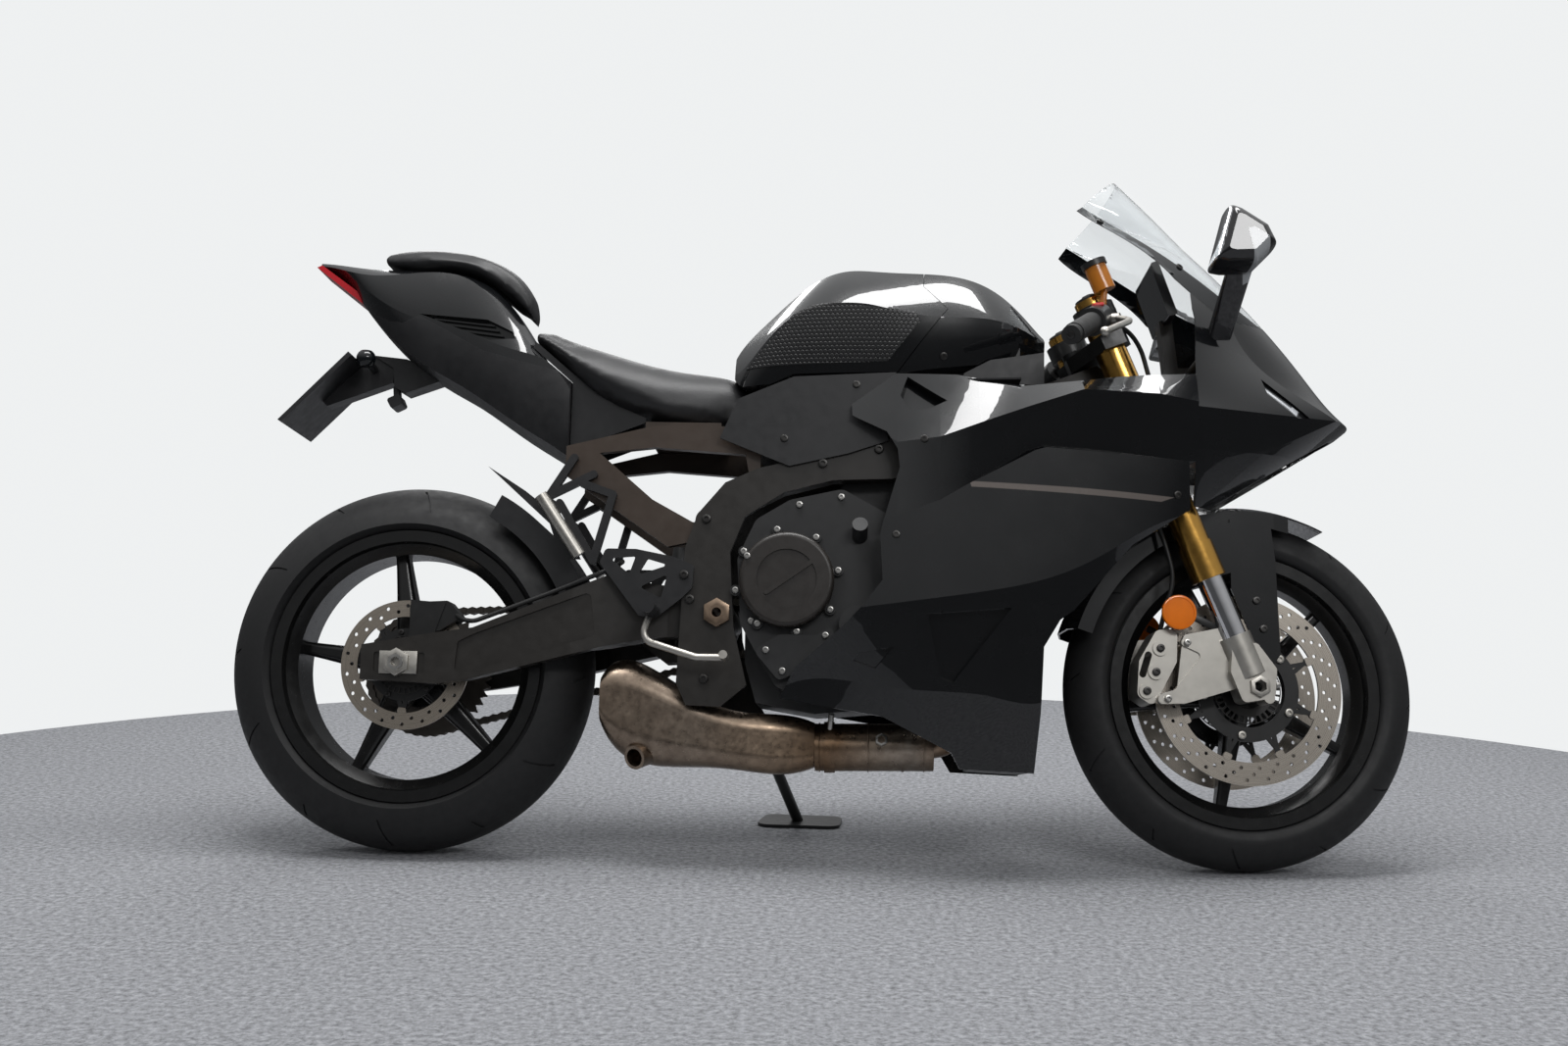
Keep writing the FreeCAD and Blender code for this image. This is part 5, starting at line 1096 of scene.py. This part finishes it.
class BIKE_OT_fasteners(bpy.types.Operator):
    """Bolts, nuts and screws where the machine is held together, and the chain adjusters' blocks"""
    bl_idname = "bike.fasteners"
    bl_label = "Fasteners"

    def execute(self, context):
        self.body_bolts()
        self.wheel_bolts()
        self.fork_bolts()
        self.nuts()
        return {"FINISHED"}

    def body_bolts(self):
        cover = ring_of(CLUTCH, 87, 8, 12) + [(592, 395), (584, 500), (668, 592), (738, 606), (838, 540),
                                              (850, 432), (618, 346), (646, 312), (702, 340), (716, 372)]
        engine = seats_on("engine_cover_right", cover)
        engine += seats_on("engine_cover_left", ring_of((760, 440), 84, 7, 0), (1,))
        stamped("engine_bolts", socket_bolt(0.0055, 0.005), engine, "engine_cover_right", "steel_bright")
        plates = seats_on("main_frame", [(512, 566), (515, 298), (488, 430), (706, 664), (800, 690)], BOTH)
        plates += seats_on("rearsets", [(478, 470)], BOTH)
        stamped("frame_bolts", socket_bolt(0.0075, 0.006), plates, "main_frame", "bolt_black")
        fairing = [(829, 535), (1290, 612)]
        screws = seats_on("side_fairing_right", fairing, (-1,), True)
        screws += seats_on("side_fairing_left", fairing, (1,), True)
        for node, points in (("upper_fairings", [(874, 698)]), ("tank_cover", [(907, 853)]),
                             ("windscreen", [(1172, 1094), (1308, 1018)]),
                             ("side_covers", [(640, 705), (760, 800)])):
            screws += seats_on(node, points, BOTH, True)
        stamped("panel_screws", socket_bolt(0.0065, 0.0028), screws, "side_covers", "bolt_black")

    def wheel_bolts(self):
        front = seats_on("front_discs", ring_of(FRONT_AXLE, 77, 5, 44), BOTH)
        stamped("front_carrier_bolts", socket_bolt(0.007, 0.005), front, "front_discs", "casting_silver")
        rear = seats_on("rear_disc", ring_of(REAR_AXLE, 56, 5, 27))
        stamped("rear_carrier_bolts", socket_bolt(0.0045, 0.004), rear, "rear_disc", "bolt_black")
        sprocket = seats_on("rear_sprocket", ring_of(REAR_AXLE, 50, 5, 27), (1,))
        stamped("sprocket_nuts", hollow_nut(0.008, 0.006, 0.004), sprocket, "rear_sprocket", "steel_bright")

    def fork_bolts(self):
        clamp = seats_on("fork_castings", [(1270, 277), (1304, 371)], BOTH)
        clamp += [((1451, side * y, 304), (1, 0, 0.1)) for side in BOTH for y in (94, 114)]
        stamped("casting_bolts", socket_bolt(0.0058, 0.006), clamp, "fork_castings", "steel_bright")
        caliper = seats_on("front_calipers", [(1262, 362), (1254, 322), (1238, 290)], BOTH)
        caliper += seats_on("mudguard", [(1435, 451), (1446, 403)], BOTH, True)
        stamped("caliper_bolts", socket_bolt(0.0068, 0.004), caliper, "front_calipers", "bolt_black")

    def nuts(self):
        stamped("front_axle_nut", hollow_nut(0.0185, 0.006, 0.0095), at_depth([FRONT_AXLE], 124.8, BOTH),
                "fork_castings", "casting_silver")
        stamped("rear_axle_nut", hollow_nut(0.0238, 0.0123, 0.0127), at_depth([REAR_AXLE], 132.4),
                "rear_axle", "casting_silver")
        blocks = [bar_between((-30, side * 133.8, 315), (34, side * 133.8, 315), 0.038, 0.003, "rear_axle")
                  for side in BOTH]
        fitted("adjuster_blocks", blocks, "rear_axle", "casting_silver")
        stamped("pivot_nut", hollow_nut(0.0246, 0.0112, 0.0122), at_depth([(534, 408)], 136.2),
                "pivot_shaft", "bronze")


# Brakes

def slotted_ring(outer, inner):
    """A thin plate with slots round it, flat on the origin."""
    slots, lip, thickness = 32, 0.0014, 0.0018
    deselect()
    bpy.ops.mesh.primitive_circle_add(vertices=slots * 3, radius=outer, fill_type="NGON")
    piece = bpy.context.object
    pick(piece, "FACE", lambda face: True)
    band = (outer - inner) * 0.42
    for step in (lip, band, outer - inner - band - lip):
        bpy.ops.mesh.inset(thickness=step)
    bpy.ops.mesh.delete(type="FACE")
    middle = outer - lip - band / 2

    def slot(face):
        place = face.calc_center_median()
        number = math.floor(math.atan2(place.y, place.x) / (2 * math.pi) * slots * 3)
        return number % 3 != 0 and abs(place.length - middle) < band * 0.3

    pick(piece, "FACE", slot)
    bpy.ops.mesh.delete(type="FACE")
    applied(piece, "SOLIDIFY", thickness=thickness, offset=1)
    return piece


class BIKE_OT_brake_parts(bpy.types.Operator):
    """Slotted speed rings on the hubs, and round reflectors on the fork"""
    bl_idname = "bike.brake_parts"
    bl_label = "Brake parts"

    def execute(self, context):
        stamped("front_speed_rings", slotted_ring(0.057, 0.031), at_depth([FRONT_AXLE], 59.6, BOTH),
                "front_discs", "bolt_black")
        stamped("rear_speed_ring", slotted_ring(0.050, 0.030), at_depth([REAR_AXLE], 77.6), "rear_disc",
                "bolt_black")
        lens = drum(0.029, 0.007, 48, 0.0014)
        pick(lens, "FACE", top_face(lens))
        bpy.ops.mesh.inset(thickness=0.003)
        sink(0.001)
        bpy.ops.mesh.poke(offset=0.0012)
        stamped("reflectors", lens, at_depth([(1291, 421)], 108, BOTH), "fork_castings", "orange_lens")
        arms = [bar_between((1296, side * 106.5, 424), (1362, side * 106.5, 394), 0.012, 0.003,
                            "fork_castings") for side in BOTH]
        fitted("reflector_arms", arms, "fork_castings", "clamp_black")
        return {"FINISHED"}


# Fittings of the cockpit and the exhaust

class BIKE_OT_cockpit(bpy.types.Operator):
    """Fork collars and caps, the stop switch and bar end screws"""
    bl_idname = "bike.cockpit"
    bl_label = "Cockpit"

    fork_y, fork_top = 105, 712
    collars = (199, 212, 226)
    bar_end = 1.029

    def execute(self, context):
        seals = [ring(0.0272, 0.0019, self.on_fork(distance, side), STEER_AXIS, "fork_outers")
                 for side in BOTH for distance in self.collars]
        fitted("fork_collars", seals, "fork_outers", "fork_gold")
        stamped("fork_caps", drum(0.024, 0.005, 48, 0.0012), self.tops(self.fork_top), "fork_outers",
                "clamp_black")
        stamped("fork_cap_nuts", hollow_nut(0.0115, 0.005, 0.005), self.tops(self.fork_top + 4.8),
                "fork_outers", "bolt_black")
        ends = []
        for side in BOTH:
            inner, outer = bar_ends(side)
            ends.append((inner.lerp(outer, self.bar_end), outer - inner))
        stamped("bar_end_screws", socket_bolt(0.006, 0.002), ends, "handlebars", "bolt_black")
        switch = bar_between((1132, -187, 922), (1150, -187, 924), 0.006, 0.016, "handlebars", 0.0015)
        fitted("stop_switch", [switch], "handlebars", "red_switch")
        return {"FINISHED"}

    def on_fork(self, distance, side):
        return Vector((FRONT_AXLE[0], side * self.fork_y, FRONT_AXLE[1])) + STEER_AXIS * distance

    def tops(self, distance):
        return [(self.on_fork(distance, side), STEER_AXIS) for side in BOTH]


class BIKE_OT_exhaust_parts(bpy.types.Operator):
    """Weld beads, the clamp's bolt and the seat of an exhaust sensor"""
    bl_idname = "bike.exhaust_parts"
    bl_label = "Exhaust parts"

    def execute(self, context):
        slope = 0.02
        beads = [ring(0.0404, 0.0013, (x, -42, 192 + (x - 700) * slope), (1, 0, slope), "muffler")
                 for x in (708, 790, 884)]
        fitted("weld_beads", beads, "muffler", "exhaust_steel")
        stamped("clamp_bolt", socket_bolt(0.005, 0.026), [((725, -70, 222), (0.1, -0.3, 1))], "muffler",
                "steel_bright")
        stamped("sensor_seat", hollow_nut(0.011, 0.012, 0.006), [((812, -80.5, 203), (0, -1, 0.25))],
                "muffler", "steel_bright")
        return {"FINISHED"}


# Panel and registration

OPERATORS = (BIKE_OT_stage, BIKE_OT_finishes, BIKE_OT_bodywork, BIKE_OT_seats, BIKE_OT_seat_panels,
             BIKE_OT_tyres, BIKE_OT_knee_pads, BIKE_OT_fasteners, BIKE_OT_brake_parts, BIKE_OT_cockpit,
             BIKE_OT_exhaust_parts)
SETTINGS = (("bike_stage", BikeStageSettings), ("bike_finish", BikeFinishSettings),
            ("bike_detail", BikeDetailSettings))


class BIKE_PT_panel(bpy.types.Panel):
    """Settings and steps of the motorcycle's dressing"""
    bl_idname = "BIKE_PT_panel"
    bl_label = "Sport Motorcycle"
    bl_space_type = "VIEW_3D"
    bl_region_type = "UI"
    bl_category = "Bike"

    def draw(self, context):
        for name, kind in SETTINGS:
            box = self.layout.box()
            for field in kind.__annotations__:
                box.prop(getattr(context.scene, name), field)
        for operator in OPERATORS:
            self.layout.operator(operator.bl_idname)


CLASSES = tuple(kind for _, kind in SETTINGS) + OPERATORS + (BIKE_PT_panel,)


def register():
    for item in CLASSES:
        bpy.utils.register_class(item)
    for name, kind in SETTINGS:
        setattr(bpy.types.Scene, name, PointerProperty(type=kind))


def unregister():
    for name, _ in reversed(SETTINGS):
        delattr(bpy.types.Scene, name)
    for item in reversed(CLASSES):
        bpy.utils.unregister_class(item)


def main():
    register()
    for operator in OPERATORS:
        space, name = operator.bl_idname.split(".")
        getattr(getattr(bpy.ops, space), name)()
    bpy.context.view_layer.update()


if __name__ == "__main__":
    main()
